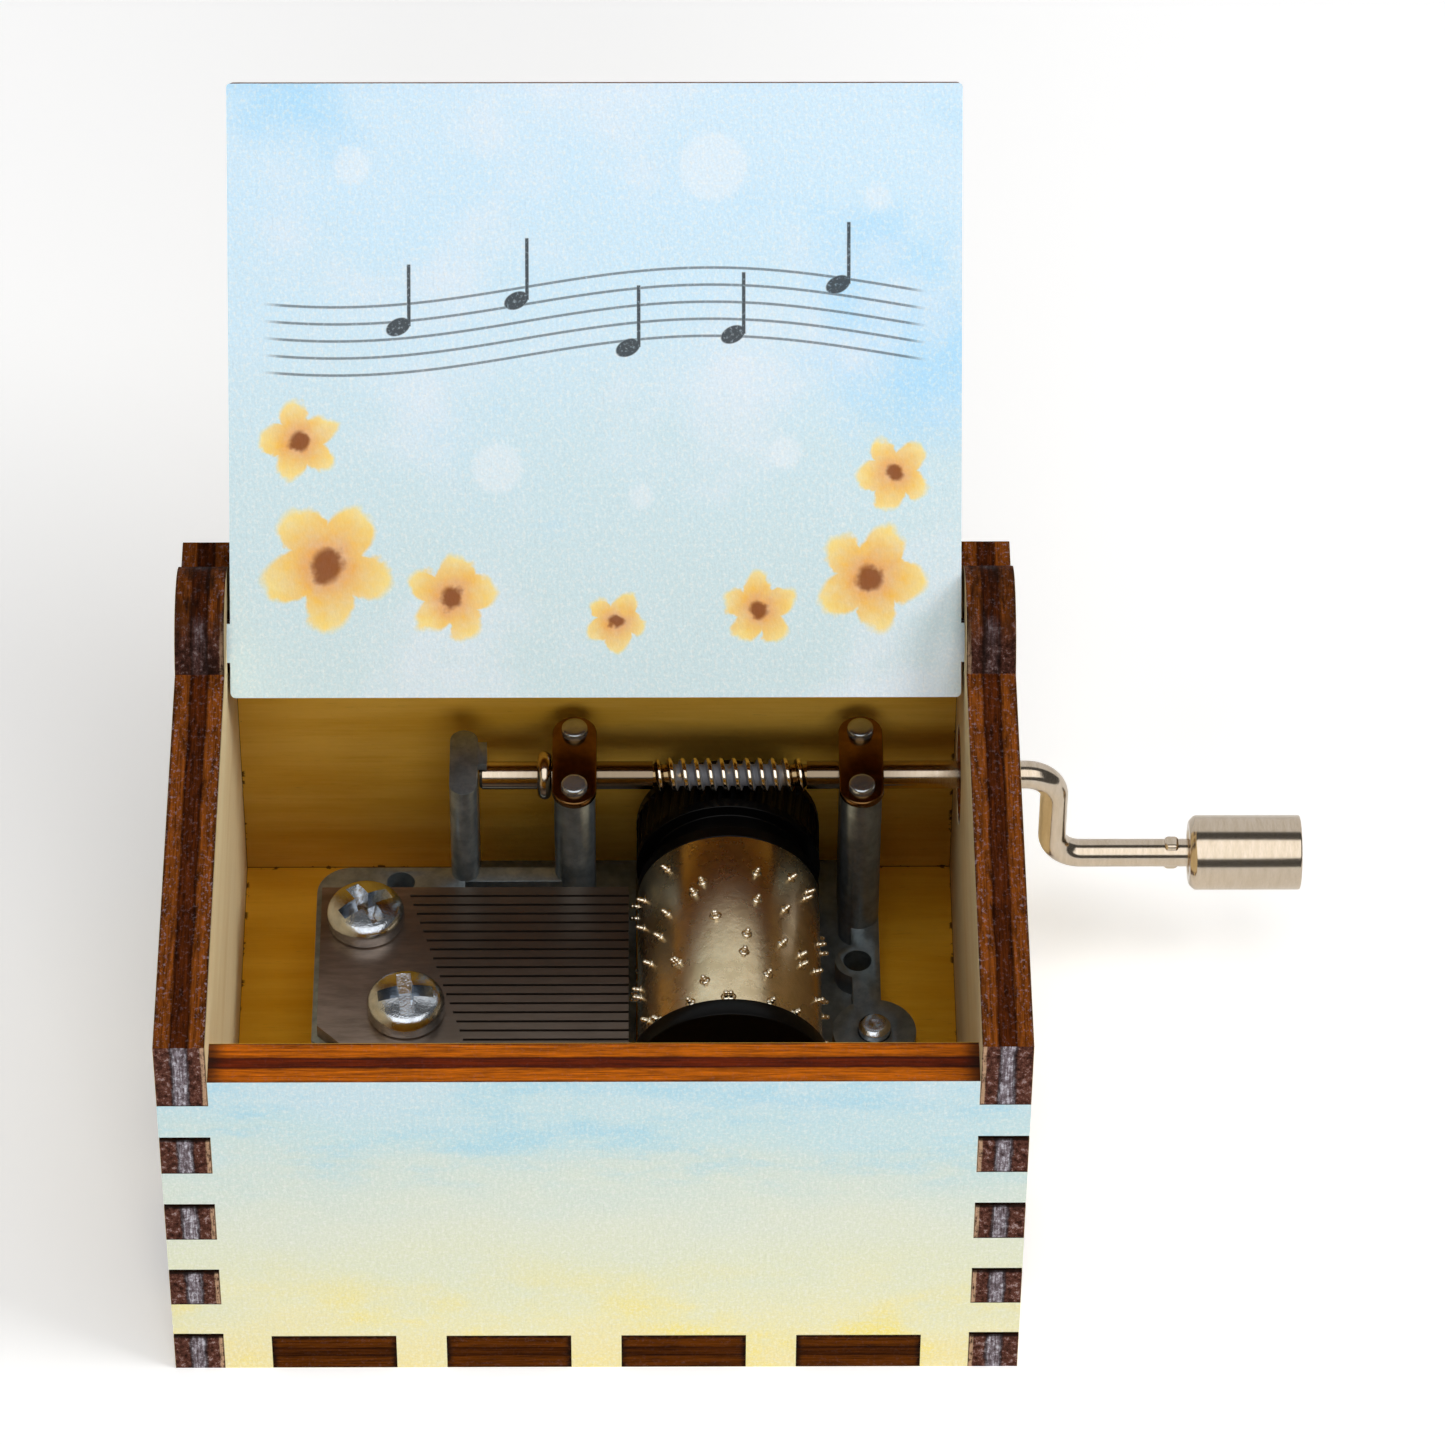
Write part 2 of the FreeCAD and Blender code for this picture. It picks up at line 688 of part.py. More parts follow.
def deck_rounding():
    """What the round back-left corner of the deck leaves out."""
    x = deck_left_x + deck_corner
    y = deck_back_y - deck_corner
    square = block(deck_left_x, x, y, deck_back_y, ply, deck_top)
    return square.cut(rod(deck_corner, Vector(x, y, ply), Vector(x, y, deck_top)))


def thrust_post():
    """Slab at the shaft's left end, with a hooked lip over it."""
    front = shaft_y - thrust_front
    back = shaft_y + thrust_back
    top = shaft_z + thrust_rise
    lip_x = thrust_x - thrust_thickness / 2
    slab = stadium(lip_x, (front + back) / 2, thrust_thickness, back - front, ply, top)
    under = shaft_top + thrust_gap
    behind = shaft_y + wire_radius + thrust_gap
    lip_back = behind + thrust_lip_rise
    lip_top = under + thrust_lip_rise

    def point(y, z):
        return Vector(lip_x, y, z)

    lip = prism([
        point(lip_back, shaft_z), point(lip_back, lip_top), point(shaft_y - thrust_lip, lip_top),
        point(shaft_y - thrust_lip, under), point(behind, under), point(behind, shaft_z),
    ], Vector(thrust_x + thrust_gap + thrust_lip - lip_x, 0, 0))
    return slab.fuse(lip)


def axle_post(y0):
    """Upright lug with the bore that one end of the axle turns in."""
    half = axle_radius + axle_post_wall
    foot = [Vector(cylinder_x - 2 * half, y0, ply), Vector(cylinder_x + 2 * half, y0, ply),
            Vector(cylinder_x + half, y0, cylinder_z), Vector(cylinder_x - half, y0, cylinder_z)]
    post = prism(foot, Vector(0, axle_post_thickness, 0))
    return post.fuse(rod(half, axis_point(y0), axis_point(y0 + axle_post_thickness)))


def bedplate():
    """The movement's frame: a low ring round the cylinder, the comb deck, posts, arm and bosses."""
    front_post_y = flange_front_y - axle_end_play - axle_post_thickness
    back_post_y = wheel_back_y + axle_end_play
    ring_back_y = back_post_y + axle_post_thickness
    ring_front_y = front_post_y + axle_post_thickness - bed_front_width
    right = arm_x + arm_width / 2
    bed_top = ply + bed_thickness
    left_part = block(deck_left_x, thrust_x, ring_front_y, deck_back_y, ply, bed_top)
    ring = block(thrust_x - thrust_thickness / 2, right, ring_front_y, ring_back_y, ply, bed_top)
    ring = ring.multiFuse([left_part, deck()]).cut(deck_rounding())
    half = flange_radius - flange_lip + bed_inner_gap
    inner_y = front_post_y + axle_post_thickness
    well = block(cylinder_x - half, cylinder_x + half, inner_y, back_post_y, ply, bed_top)
    root = comb_slot_x(comb_front_y) - 2 * slot_width
    pocket = block(
        deck_left_x + deck_wall, root - deck_wall,
        deck_front_y + deck_wall + comb_chamfer, deck_bar_front_y - deck_wall, ply, bed_top,
    )
    keep = rod(boss_radius, mount_places[0] + Vector(0, 0, ply), mount_places[0] + Vector(0, 0, arm_top))
    ring = ring.cut(well).cut(pocket.cut(keep))
    arm = block(arm_x - arm_width / 2, right, boss_y, shaft_y, ply, arm_top)
    lug_y = shaft_y - arm_lug_offset
    lug_x = right - arm_lug_radius
    lug = rod(arm_lug_radius, Vector(lug_x, lug_y, ply), Vector(lug_x, lug_y, arm_top))
    boss = rod(boss_radius, mount_places[1] + Vector(0, 0, ply), mount_places[1] + Vector(0, 0, arm_top))
    pieces = [
        arm, lug, boss, thrust_post(), bearing_post(left_post_x), bearing_post(right_post_x),
        axle_post(front_post_y), axle_post(back_post_y),
    ]
    cuts = [shaft_groove(left_post_x), shaft_groove(right_post_x)]
    cuts.append(rod(arm_lug_hole_radius, Vector(lug_x, lug_y, ply), Vector(lug_x, lug_y, arm_top)))
    bore = axle_radius + running_clearance
    cuts.append(rod(bore, axis_point(ring_front_y), axis_point(inner_y)))
    cuts.append(rod(bore, axis_point(back_post_y), axis_point(ring_back_y)))
    for place in mount_places:
        cuts.append(mount_screw(place, screw_clearance, ply / 2))
    for place in comb_screw_places:
        foot = place + Vector(0, 0, deck_top - deck_thickness)
        cuts.append(rod(comb_screw_radius + screw_clearance, foot, place + Vector(0, 0, comb_top)))
    return ring.multiFuse(pieces).cut(Part.Compound(cuts)).removeSplitter()


nodes = {
    "bottom_panel": bottom_panel(),
    "front_panel": wall_panel(-case_depth / 2, front_height),
    "back_panel": wall_panel(wall_y, back_height),
    "left_side_panel": side_panel(-case_width / 2, False),
    "right_side_panel": side_panel(wall_x, True),
    "lid_panel": lid_panel(),
    "bedplate": bedplate(),
    "comb": comb(),
    "comb_weights": comb_weights(),
    "comb_screws": comb_screws(),
    "mounting_screws": mounting_screws(),
    "left_bearing_cap": bearing_cap(left_post_x),
    "right_bearing_cap": bearing_cap(right_post_x),
    "bearing_cap_rivets": bearing_cap_rivets(),
    "cylinder_sleeve": cylinder_sleeve(),
    "cylinder_pins": cylinder_pins(),
    "worm_wheel": worm_wheel(),
    "front_end_cap": front_end_cap(),
    "cylinder_axle": cylinder_axle(),
    "crank_shaft": crank_shaft(),
    "shaft_collar": shaft_collar(),
    "crank_knob": crank_knob(),
}

os.makedirs("parts", exist_ok=True)
for name, shape in nodes.items():
    shape.exportStep("parts/" + name + ".step")
    print(name, "solids", len(shape.Solids), "volume", round(shape.Volume, 2), "valid", shape.isValid())
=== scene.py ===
# %% [markdown]
# # Dressing a hand-cranked music box
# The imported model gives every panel, shaft and tooth its true place. This lesson adds what a camera
# sees: laser-browned plywood edges, a colour wash on two panels, cast zinc, nickelled wire, steel pins.
# Each step first says what the piece is on the real object, then how it is made here and why.

# %% Load the frame
import functools
import json
import math

import bmesh
import bpy
from mathutils import Matrix, Vector


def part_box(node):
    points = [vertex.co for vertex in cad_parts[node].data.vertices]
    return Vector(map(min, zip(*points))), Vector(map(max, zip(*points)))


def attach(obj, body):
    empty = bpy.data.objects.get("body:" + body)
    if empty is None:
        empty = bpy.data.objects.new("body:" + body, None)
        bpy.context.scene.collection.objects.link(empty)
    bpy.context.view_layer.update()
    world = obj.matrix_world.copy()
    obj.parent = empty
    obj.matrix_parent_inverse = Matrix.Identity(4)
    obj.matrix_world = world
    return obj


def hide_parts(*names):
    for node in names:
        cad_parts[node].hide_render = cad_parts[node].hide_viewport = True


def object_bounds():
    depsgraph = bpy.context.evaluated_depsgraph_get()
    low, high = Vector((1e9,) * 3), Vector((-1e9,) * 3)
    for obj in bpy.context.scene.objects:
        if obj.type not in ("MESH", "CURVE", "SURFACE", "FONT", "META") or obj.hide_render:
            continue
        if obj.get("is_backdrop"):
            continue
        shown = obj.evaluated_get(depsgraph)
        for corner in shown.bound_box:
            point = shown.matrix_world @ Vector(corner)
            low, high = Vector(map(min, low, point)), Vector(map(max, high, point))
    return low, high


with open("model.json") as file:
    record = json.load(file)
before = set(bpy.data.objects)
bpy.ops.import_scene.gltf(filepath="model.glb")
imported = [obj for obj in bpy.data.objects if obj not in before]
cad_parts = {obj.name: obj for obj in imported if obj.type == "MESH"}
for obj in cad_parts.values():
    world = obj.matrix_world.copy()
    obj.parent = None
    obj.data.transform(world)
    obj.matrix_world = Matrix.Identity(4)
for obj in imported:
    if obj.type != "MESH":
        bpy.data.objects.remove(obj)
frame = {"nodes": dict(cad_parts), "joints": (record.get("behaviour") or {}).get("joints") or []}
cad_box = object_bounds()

MM = 0.001
PER_METRE = 1000

# %% [markdown]
# ## Measuring the frame
# A restorer measures before painting. The places below come from the boxes of the model's own nodes
# and from its joints, in millimetres, so the looks follow the frame.

# %% Measure what the looks depend on
def span(node):
    """Lowest and highest corner of a node, in millimetres."""
    low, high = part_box(node)
    return low / MM, high / MM


def points_of(node):
    """The points of a node's mesh, in millimetres."""
    return [v.co / MM for v in frame["nodes"][node].data.vertices]


def joint_place(name):
    """Where a joint lies, in millimetres."""
    found = next(j for j in frame["joints"] if j["name"] == name)
    return Vector(found["pos_m"]) / MM


LEFT = span("left_side_panel")[0].x
HALF_WIDTH = span("right_side_panel")[1].x
HALF_DEPTH = span("left_side_panel")[1].y
FRONT_TOP = span("front_panel")[1].z
PLY = span("bottom_panel")[1].z
pivot = joint_place("lid_hinge")
shaft = joint_place("crank_turn")
roller = joint_place("cylinder_turn")
handle = joint_place("knob_spin")
print("half width", round(HALF_WIDTH, 2), "half depth", round(HALF_DEPTH, 2), "ply", round(PLY, 2))
print("pivot", tuple(pivot), "shaft", tuple(shaft), "roller", tuple(roller))

# %% [markdown]
# ## Writing shader maths as plain sums
# A finish is a small graph of nodes. Adding nodes by hand hides the idea, so one class wraps an output
# socket and gives it the operators of a number: `1 - mask` adds a Math node. The second class owns the
# tree and has one method for every other kind of node: its settings go in first, then its sockets.

# %% A socket that can be added and multiplied
def worked(operation):
    """A method that adds one Math node with the wire as its first value."""
    return lambda self, *others: self.math(operation, self, *others)


class Wire:
    """An output socket that can be used like a number."""

    def __init__(self, net, socket):
        self.net = net
        self.socket = socket

    def math(self, operation, *values):
        return self.net.add("ShaderNodeMath", {"operation": operation}, dict(enumerate(values)))

    __add__ = __radd__ = worked("ADD")
    __sub__ = worked("SUBTRACT")
    __mul__ = __rmul__ = worked("MULTIPLY")
    __truediv__ = worked("DIVIDE")
    __pow__ = worked("POWER")
    __abs__ = worked("ABSOLUTE")
    sin = worked("SINE")
    cos = worked("COSINE")
    least = worked("MINIMUM")
    most = worked("MAXIMUM")
    above = worked("GREATER_THAN")

    def __rsub__(self, other):
        return self.math("SUBTRACT", other, self)

    def from_nearest(self):
        """How far the value is from the nearest whole number."""
        return abs(self - self.math("ROUND", self))

    def ease(self, low, high):
        """0 at low, 1 at high, smooth between them; low may be the larger one."""
        if low < high:
            return self.net.add("ShaderNodeMapRange", {"interpolation_type": "SMOOTHSTEP"},
                                {0: self, 1: low, 2: high, 3: 0.0, 4: 1.0})
        return 1 - self.ease(high, low)


def strongest(shares):
    """The largest of several shares, point by point."""
    return functools.reduce(Wire.most, shares)


def distance(u, v, place):
    """How far a point lies from a place on a flat."""
    across = u - place[0]
    up = v - place[1]
    return (across * across + up * up) ** 0.5


# %% A tree that nodes are added to
def fill_ramp(ramp, stops):
    """Gives a colour ramp its stops, each a place and a colour."""
    while len(ramp.elements) < len(stops):
        ramp.elements.new(0.5)
    for element, (place, colour) in zip(ramp.elements, stops):
        element.position = place
        element.color = colour


class Net:
    """A tree of nodes, with one method that adds a node of any kind."""

    def __init__(self, tree):
        self.tree = tree

    def add(self, kind, settings=None, sockets=None, out=0):
        node = self.tree.nodes.new(kind)
        for key, value in (settings or {}).items():
            if key == "stops":
                fill_ramp(node.color_ramp, value)
            else:
                setattr(node, key, value)
        for key, value in (sockets or {}).items():
            if isinstance(value, Wire):
                self.tree.links.new(value.socket, node.inputs[key])
            else:
                node.inputs[key].default_value = value
        return Wire(self, node.outputs[out])

    def outputs(self, wire):
        """All outputs of the node that a wire comes from, by name."""
        return {socket.name: Wire(self, socket) for socket in wire.socket.node.outputs if socket.name}

    def parts(self, vector):
        """The three numbers of a vector."""
        return list(self.outputs(self.add("ShaderNodeSeparateXYZ", None, {0: vector})).values())

    def vector(self, x, y, z):
        return self.add("ShaderNodeCombineXYZ", None, {0: x, 1: y, 2: z})

    def grey(self, value):
        """A number as a colour."""
        return self.add("ShaderNodeCombineColor", None, {0: value, 1: value, 2: value})


# %% [markdown]
# ## A finish
# Every finish starts from the same shader and the same three numbers: where a point lies on the object,
# in millimetres. Object coordinates stay with a piece when it turns, so grain does not slide.

# %% A material with its place in millimetres
def ink(red, green, blue):
    """A colour as a picture gives it, 0 to 255, turned into light values."""
    def light(c):
        c = c / 255
        return c / 12.92 if c <= 0.04045 else ((c + 0.055) / 1.055) ** 2.4
    return (light(red), light(green), light(blue), 1.0)


class Finish(Net):
    """A material with its shader and, as x, y and z, the place of a point on it in millimetres."""

    def __init__(self, name, **fixed):
        self.material = bpy.data.materials.new(name)
        self.material.use_nodes = True
        super().__init__(self.material.node_tree)
        self.shader = self.tree.nodes["Principled BSDF"]
        for key, value in fixed.items():
            self.shader.inputs[key.replace("_", " ")].default_value = value
        place = self.add("ShaderNodeTexCoord", out="Object")
        self.x, self.y, self.z = [axis * PER_METRE for axis in self.parts(place)]

    def feed(self, name, wire):
        self.tree.links.new(wire.socket, self.shader.inputs[name])

    def noise(self, x, y, z, detail=3.0, rough=0.6):
        """Cloudy values about 0 to 1; the factors on x, y and z set the size and stretch of the clouds."""
        return self.add("ShaderNodeTexNoise", None,
                        {"Vector": self.vector(x, y, z), "Scale": 1.0, "Detail": detail, "Roughness": rough})

    def ramp(self, value, stops):
        return self.add("ShaderNodeValToRGB", {"stops": stops}, {0: value})

    def mix(self, share, first, second, kind="MIX"):
        return self.add("ShaderNodeMix", {"data_type": "RGBA", "blend_type": kind},
                        {0: share, 6: first, 7: second}, out=2)

    def shade(self, colour, value):
        """A colour made darker or lighter by a number."""
        return self.mix(1.0, colour, self.grey(value), "MULTIPLY")

    def bump(self, height, distance, strength=1.0):
        self.feed("Normal", self.add("ShaderNodeBump", None,
                                     {"Strength": strength, "Distance": distance * MM, "Height": height}))


print("white", ink(255, 255, 255), "mid", ink(128, 128, 128))

# %% [markdown]
# ## Plywood
# The panels are three-ply birch cut by a laser. The cut browns the edge: long-grain edges turn orange
# brown with a nearly black core ply, end grain turns speckled grey and brown. A picture texture could
# show that, but the bands have to run round fingers and knuckles, so the shader asks how deep a point
# lies between the two faces and paints the band from that depth.

# %% Bands of a cut edge, from the outer face to the inner face
# Near-black of laser soot, also used as painted shadow along the joints.
SOOT_AND_SHADE = ink(20, 12, 8)
CORE = (0.38, 0.62)
CHARRED = 0.06
GLUE = 0.05


def bands(core, skin, heart):
    """Stops of a colour ramp across three plies: charred faces, two outer plies, glue lines round a core."""
    start, end = core
    glue = tuple(0.45 * part for part in heart[:3]) + (1.0,)
    return [
        (0, ink(52, 32, 22)), (CHARRED, skin),
        (start - GLUE, skin), (start, glue), (start + GLUE, heart),
        (end - GLUE, heart), (end, glue), (end + GLUE, skin),
        (1 - CHARRED, skin), (1, ink(60, 34, 18)),
    ]


print("edge bands", len(bands(CORE, SOOT_AND_SHADE, SOOT_AND_SHADE)))

# %% Edges along the grain and across it
def long_cut(finish, depth, along, core, skin, heart, dirt):
    """Edge along the grain: brown plies with streaks round a dark core; dirt adds soot and grey specks."""
    x, y, z = finish.x, finish.y, finish.z
    wander = finish.noise(along * 0.25, depth * 0.5, 4.0, 3.0, 0.6) - 0.5
    streak = finish.noise(along * 0.16, depth * 4.5, 1.0, 5.0, 0.75).ease(0.34, 0.66)
    fibre = finish.noise(along * 0.8, depth * 13.0, 3.0, 2.0, 0.6).ease(0.30, 0.70)
    blotch = finish.noise(along * 0.42, depth * 1.3, 6.0, 5.0, 0.7).ease(0.46, 0.66)
    speck = finish.noise(x * 3.4, y * 2.6, z * 3.4, 4.0, 0.75).ease(0.53, 0.66)
    rims = abs(depth - PLY / 2).ease(0.5, 1.8)
    colour = finish.ramp((depth + wander * 0.3) / PLY, bands(core, skin, heart))
    tone = (0.30 + 0.95 * streak + 0.35 * fibre) * (1 - blotch * (0.8 * dirt))
    colour = finish.shade(colour, tone)
    return finish.mix(speck * (0.25 + 0.75 * rims) * (0.9 * dirt), colour, ink(160, 140, 146))


def end_cut(finish, depth, rise, core, shown=1.0):
    """Edge across the grain: dark speckled plies, a core whose pale fibres run up the panel, and a painted
    shadow along the inner face.

    Shown is the share of the core that soot leaves in sight."""
    x, y, z = finish.x, finish.y, finish.z
    fleck = finish.noise(x * 2.2, y * 2.2, z * 1.9, 5.0, 0.8).ease(0.32, 0.70)
    wander = finish.noise(x * 0.9, y * 0.9, rise * 0.7, 3.0, 0.6) - 0.5
    fibre = finish.noise(depth * 6.0, rise * 0.55, 9.0, 4.0, 0.7) * 0.75 + fleck * 0.25
    plies = finish.shade(ink(104, 64, 52), 0.12 + 1.35 * fleck)
    plies = finish.mix(fleck.ease(0.70, 0.92) * 0.55, plies, ink(188, 172, 170))
    heart = finish.ramp(fibre, [
        (0.30, ink(54, 38, 36)), (0.50, ink(128, 116, 122)), (0.66, ink(214, 212, 220)),
    ])
    centre = (core[0] + core[1]) / 2 * PLY
    reach = (core[1] - core[0]) / 2 * PLY
    from_centre = abs(depth + wander * 0.5 - centre)
    in_core = from_centre.ease(reach + 0.15, reach - 0.12)
    glue = abs(from_centre - reach).ease(0.22, 0.04)
    colour = finish.shade(finish.mix(in_core * shown, plies, heart), 1 - 0.6 * glue)
    inner = depth + wander * 0.2
    lining = inner.ease(PLY - 0.42, PLY - 0.30) * fibre.ease(0.30, 0.52)
    colour = finish.mix(lining * 0.8, colour, ink(206, 168, 134))
    # A near-black border along the inner face is painted shadow of the joint beside it.
    return finish.mix(inner.ease(PLY - 0.14, PLY - 0.05) * 0.8, colour, SOOT_AND_SHADE)


def cut_edge(finish, depth, rise, end_x, skin, heart, dirt):
    """The edges of a panel whose grain runs across the case: end grain beyond end_x, long grain elsewhere."""
    along_grain = long_cut(finish, depth, finish.x, CORE, skin, heart, dirt)
    return finish.mix(abs(finish.x).above(end_x), along_grain, end_cut(finish, depth, rise, CORE))


# %% Faces of the plywood
PLAIN_BIRCH = (ink(248, 227, 182), ink(238, 212, 160))
HAIR = 0.03


def on_face(depth):
    """1 on the two faces of a panel and 0 on its edges."""
    return abs(depth - PLY / 2).above(PLY / 2 - HAIR)


def on_outside(depth):
    """1 on the outer face of a panel."""
    return depth.ease(2 * HAIR, 0.0)


def birch_face(finish, along, across, pale, dark):
    """Plain face veneer: soft waves, fine long lines and short pores."""
    wave = finish.noise(along * 0.04, across * 0.35, across * 0.1, 3.0, 0.6)
    line = finish.noise(along * 0.12, across * 4.0, 2.0, 4.0, 0.7)
    pores = finish.noise(along * 0.6, across * 7.0, along * 0.1, 3.0, 0.7).ease(0.60, 0.74)
    colour = finish.mix((wave * 0.72 + line * 0.28).ease(0.30, 0.70), pale, dark)
    return finish.shade(colour, 1 - pores * 0.16)


print("birch", [round(part, 2) for part in PLAIN_BIRCH[0]])

# %% [markdown]
# The fingers of the side panels end in the front and back faces. Where two cuts meet there is a black line:
# laser scorch and painted shadow of the kerf gap. The heights of those lines are read from the side panel's
# own corners.

# %% Heights at which the fingers begin and end
def front_points(node):
    """The points of a node that lie in the plane of the front face."""
    return [p for p in points_of(node) if abs(p.y + HALF_DEPTH) < 0.01]


levels = sorted({round(p.z, 2) for p in front_points("left_side_panel")})
print("finger levels", levels)


def scorch_and_gap_shade(finish, width):
    """Ragged black lines of scorch and painted shadow of the kerf gaps: one under the top of each finger, a
    thinner one above its foot.
    """
    ragged = width * (0.05 + 1.7 * finish.noise(finish.x * 3.4, finish.y * 3.4, 3.0, 4.0, 0.8))
    lines = []
    for k, level in enumerate(levels[1:-1]):
        under = level - finish.z
        if k % 2 == 0:
            lines.append((under / ragged).ease(1.0, 0.3) * under.above(-0.02) * 0.9)
        else:
            lines.append(abs(under).ease(width * 0.4, 0.0))
    return strongest(lines)


# %% [markdown]
# The two side panels carry the lid: a round knuckle on the top edge holds its pivot. Their long top edge
# is browned along the grain, the front and back ends and the steep parts of the knuckle across it.

# %% Side panels
SIDE_CORE = (0.34, 0.66)
SIDE_END_CORE = (0.34, 0.64)
SCORCH_AND_GAP_SHADE_WIDTH = 0.40


def side_panel_finish(name, outer_x, side):
    finish = Finish(name, Roughness=0.8, Specular_IOR_Level=0.03)
    x, y, z = finish.x, finish.y, finish.z
    depth = (outer_x - x) * side
    on_end = abs(y).above(HALF_DEPTH - HAIR)
    top = FRONT_TOP + PLY
    on_hump = z.above(top + 0.02)
    steep = on_hump * abs(y - pivot.y).ease(2.2, 4.6)
    smear = finish.noise(x * 1.4, y * 0.3, 8.0, 3.0, 0.6).ease(0.42, 0.62)
    at_joint = abs(y).above(HALF_DEPTH - PLY - 0.05)
    # Soot here holds laser scorch, painted shadow of the kerf gaps at the joints, and soot on the knuckle.
    soot = (scorch_and_gap_shade(finish, SCORCH_AND_GAP_SHADE_WIDTH) * at_joint).most(on_hump * (0.25 + 0.45 * smear))
    along_grain = long_cut(finish, depth, y, SIDE_CORE, ink(130, 68, 20), ink(80, 35, 8), 0.8)
    across_grain = end_cut(finish, depth, z, SIDE_END_CORE, 1 - 0.85 * steep)
    across_grain = finish.shade(across_grain, 1 - 0.3 * steep)
    edge = finish.mix(soot, finish.mix(on_end.most(steep), along_grain, across_grain), SOOT_AND_SHADE)
    face = birch_face(finish, y, z, *PLAIN_BIRCH)
    near_cut = (HALF_DEPTH - abs(y)).ease(0.6, 0.0).most((top - z).ease(0.5, 0.0))
    face = finish.mix(near_cut * 0.5, face, ink(96, 62, 34))
    finish.feed("Base Color", finish.mix(on_face(depth), edge, face))
    finish.bump(finish.noise(x * 5.0, y * 2.0, z * 5.0, 5.0, 0.75), 0.12)
    return finish.material


def wear(node, material):
    """Gives a node of the frame its finish; the node's shape and place stay."""
    mesh = frame["nodes"][node].data
    mesh.materials.clear()
    mesh.materials.append(material)


wear("left_side_panel", side_panel_finish("left side ply", LEFT, -1))
wear("right_side_panel", side_panel_finish("right side ply", HALF_WIDTH, 1))
print("side panels finished")

# %% [markdown]
# The back wall and the floor are the same ply. Inside the case their faces are painted a deeper golden, as
# painted shade and warm bounce light; outside they are as pale as the sides. One function paints both, given
# where a panel's depth lies.

# %% Back panel and bottom panel
WALL_X = HALF_WIDTH - PLY
WALL_Y = HALF_DEPTH - PLY


def inner_panel_finish(name, depth_of, across_of, seam_of, shaded_inside_colours, cut_colours, dirt, border_of):
    """Plain ply: browned seams where the face meets its neighbours, and the panel's own browned edges."""
    finish = Finish(name, Roughness=0.8, Specular_IOR_Level=0.03)
    x, y, z = finish.x, finish.y, finish.z
    depth = depth_of(finish)
    across = across_of(finish)
    edge = cut_edge(finish, depth, across, HALF_WIDTH - HAIR, *cut_colours, dirt)
    edge = finish.mix(border_of(finish), edge, SOOT_AND_SHADE)
    face = birch_face(finish, x, across, *shaded_inside_colours)
    dash = finish.noise(x * 0.55, y * 0.55, z * 0.55, 4.0, 0.7)
    seam = (seam_of(finish) / (0.07 + 0.28 * dash.ease(0.55, 0.61))).ease(1.0, 0.35)
    face = finish.mix(seam * 0.85, face, ink(40, 24, 8))
    face = finish.mix(on_outside(depth), face, birch_face(finish, x, across, *PLAIN_BIRCH))
    finish.feed("Base Color", finish.mix(on_face(depth), edge, face))
    finish.bump(finish.noise(x * 0.8, y * 5.0, z * 5.0, 5.0, 0.7), 0.08)
    return finish.material


tab_ends = sorted({round(p.x, 2) for p in front_points("bottom_panel")})
print("tab ends", tab_ends)


def tab_border(finish):
    """Soot round the tabs that the base pushes through the front and back walls."""
    ends = strongest([abs(finish.x - edge_x).ease(0.6, 0.05) for edge_x in tab_ends])
    rough = finish.noise(finish.x * 2.0, finish.z * 2.0, 3.0, 3.0, 0.7).ease(0.30, 0.62)
    top = finish.z.ease(PLY - 0.55, PLY - 0.1)
    return (ends.most(top) * (0.35 + 0.7 * rough)).least(0.92)


# The inside colours of the back and the floor are deeper golden than plain birch: painted shade and warm
# bounce light of the case.
wear("back_panel", inner_panel_finish(
    "back ply", lambda f: HALF_DEPTH - f.y, lambda f: f.z, lambda f: (WALL_X - abs(f.x)).least(f.z - PLY),
    (ink(230, 184, 80), ink(212, 160, 50)), (ink(128, 66, 16), ink(60, 26, 6)), 0.35, lambda f: 0.0))
wear("bottom_panel", inner_panel_finish(
    "bottom ply", lambda f: f.z, lambda f: f.y, lambda f: (WALL_X - abs(f.x)).least(WALL_Y - abs(f.y)),
    (ink(238, 178, 52), ink(220, 154, 28)), (ink(86, 42, 4), ink(66, 30, 3)), 0.12, tab_border))
print("inner panels finished")

# %% [markdown]
# ## The colour wash
# The front panel and the lid carry a thin print: light blue at the top, through pale green, to a warm
# yellow at the foot, with the grain of the wood showing through. On the lid the print also holds a
# drawing. Here the drawing is a plain design of loose blossoms and a waving stave. A print has no
# thickness, so it is painted by the shader and not laid on as a sheet.

# %% Mottling that both washes share
def mottle(finish, u, v, colour):
    """Grain of a print that has sunk into wood: bare white grains, fine specks, hair-thin upright fibres."""
    grain = finish.noise(u * 5.0, v * 5.0, 7.0, 2.0, 0.7)
    bare = finish.noise(u * 3.2, v * 2.6, 5.0, 4.0, 0.75).ease(0.46, 0.66)
    hair = finish.noise(u * 9.0, v * 0.45, 11.0, 2.0, 0.6).ease(0.62, 0.78)
    colour = finish.mix(bare * 0.42, colour, ink(244, 243, 238))
    return finish.shade(colour, 0.87 + 0.26 * grain - 0.10 * hair)


# %% Front panel
FRONT_WASH = [
    (0.02, ink(240, 226, 166)), (0.15, ink(236, 230, 184)), (0.33, ink(226, 228, 198)),
    (0.52, ink(222, 227, 208)), (0.70, ink(211, 224, 215)), (0.84, ink(197, 223, 226)),
    (0.98, ink(200, 224, 232)),
]


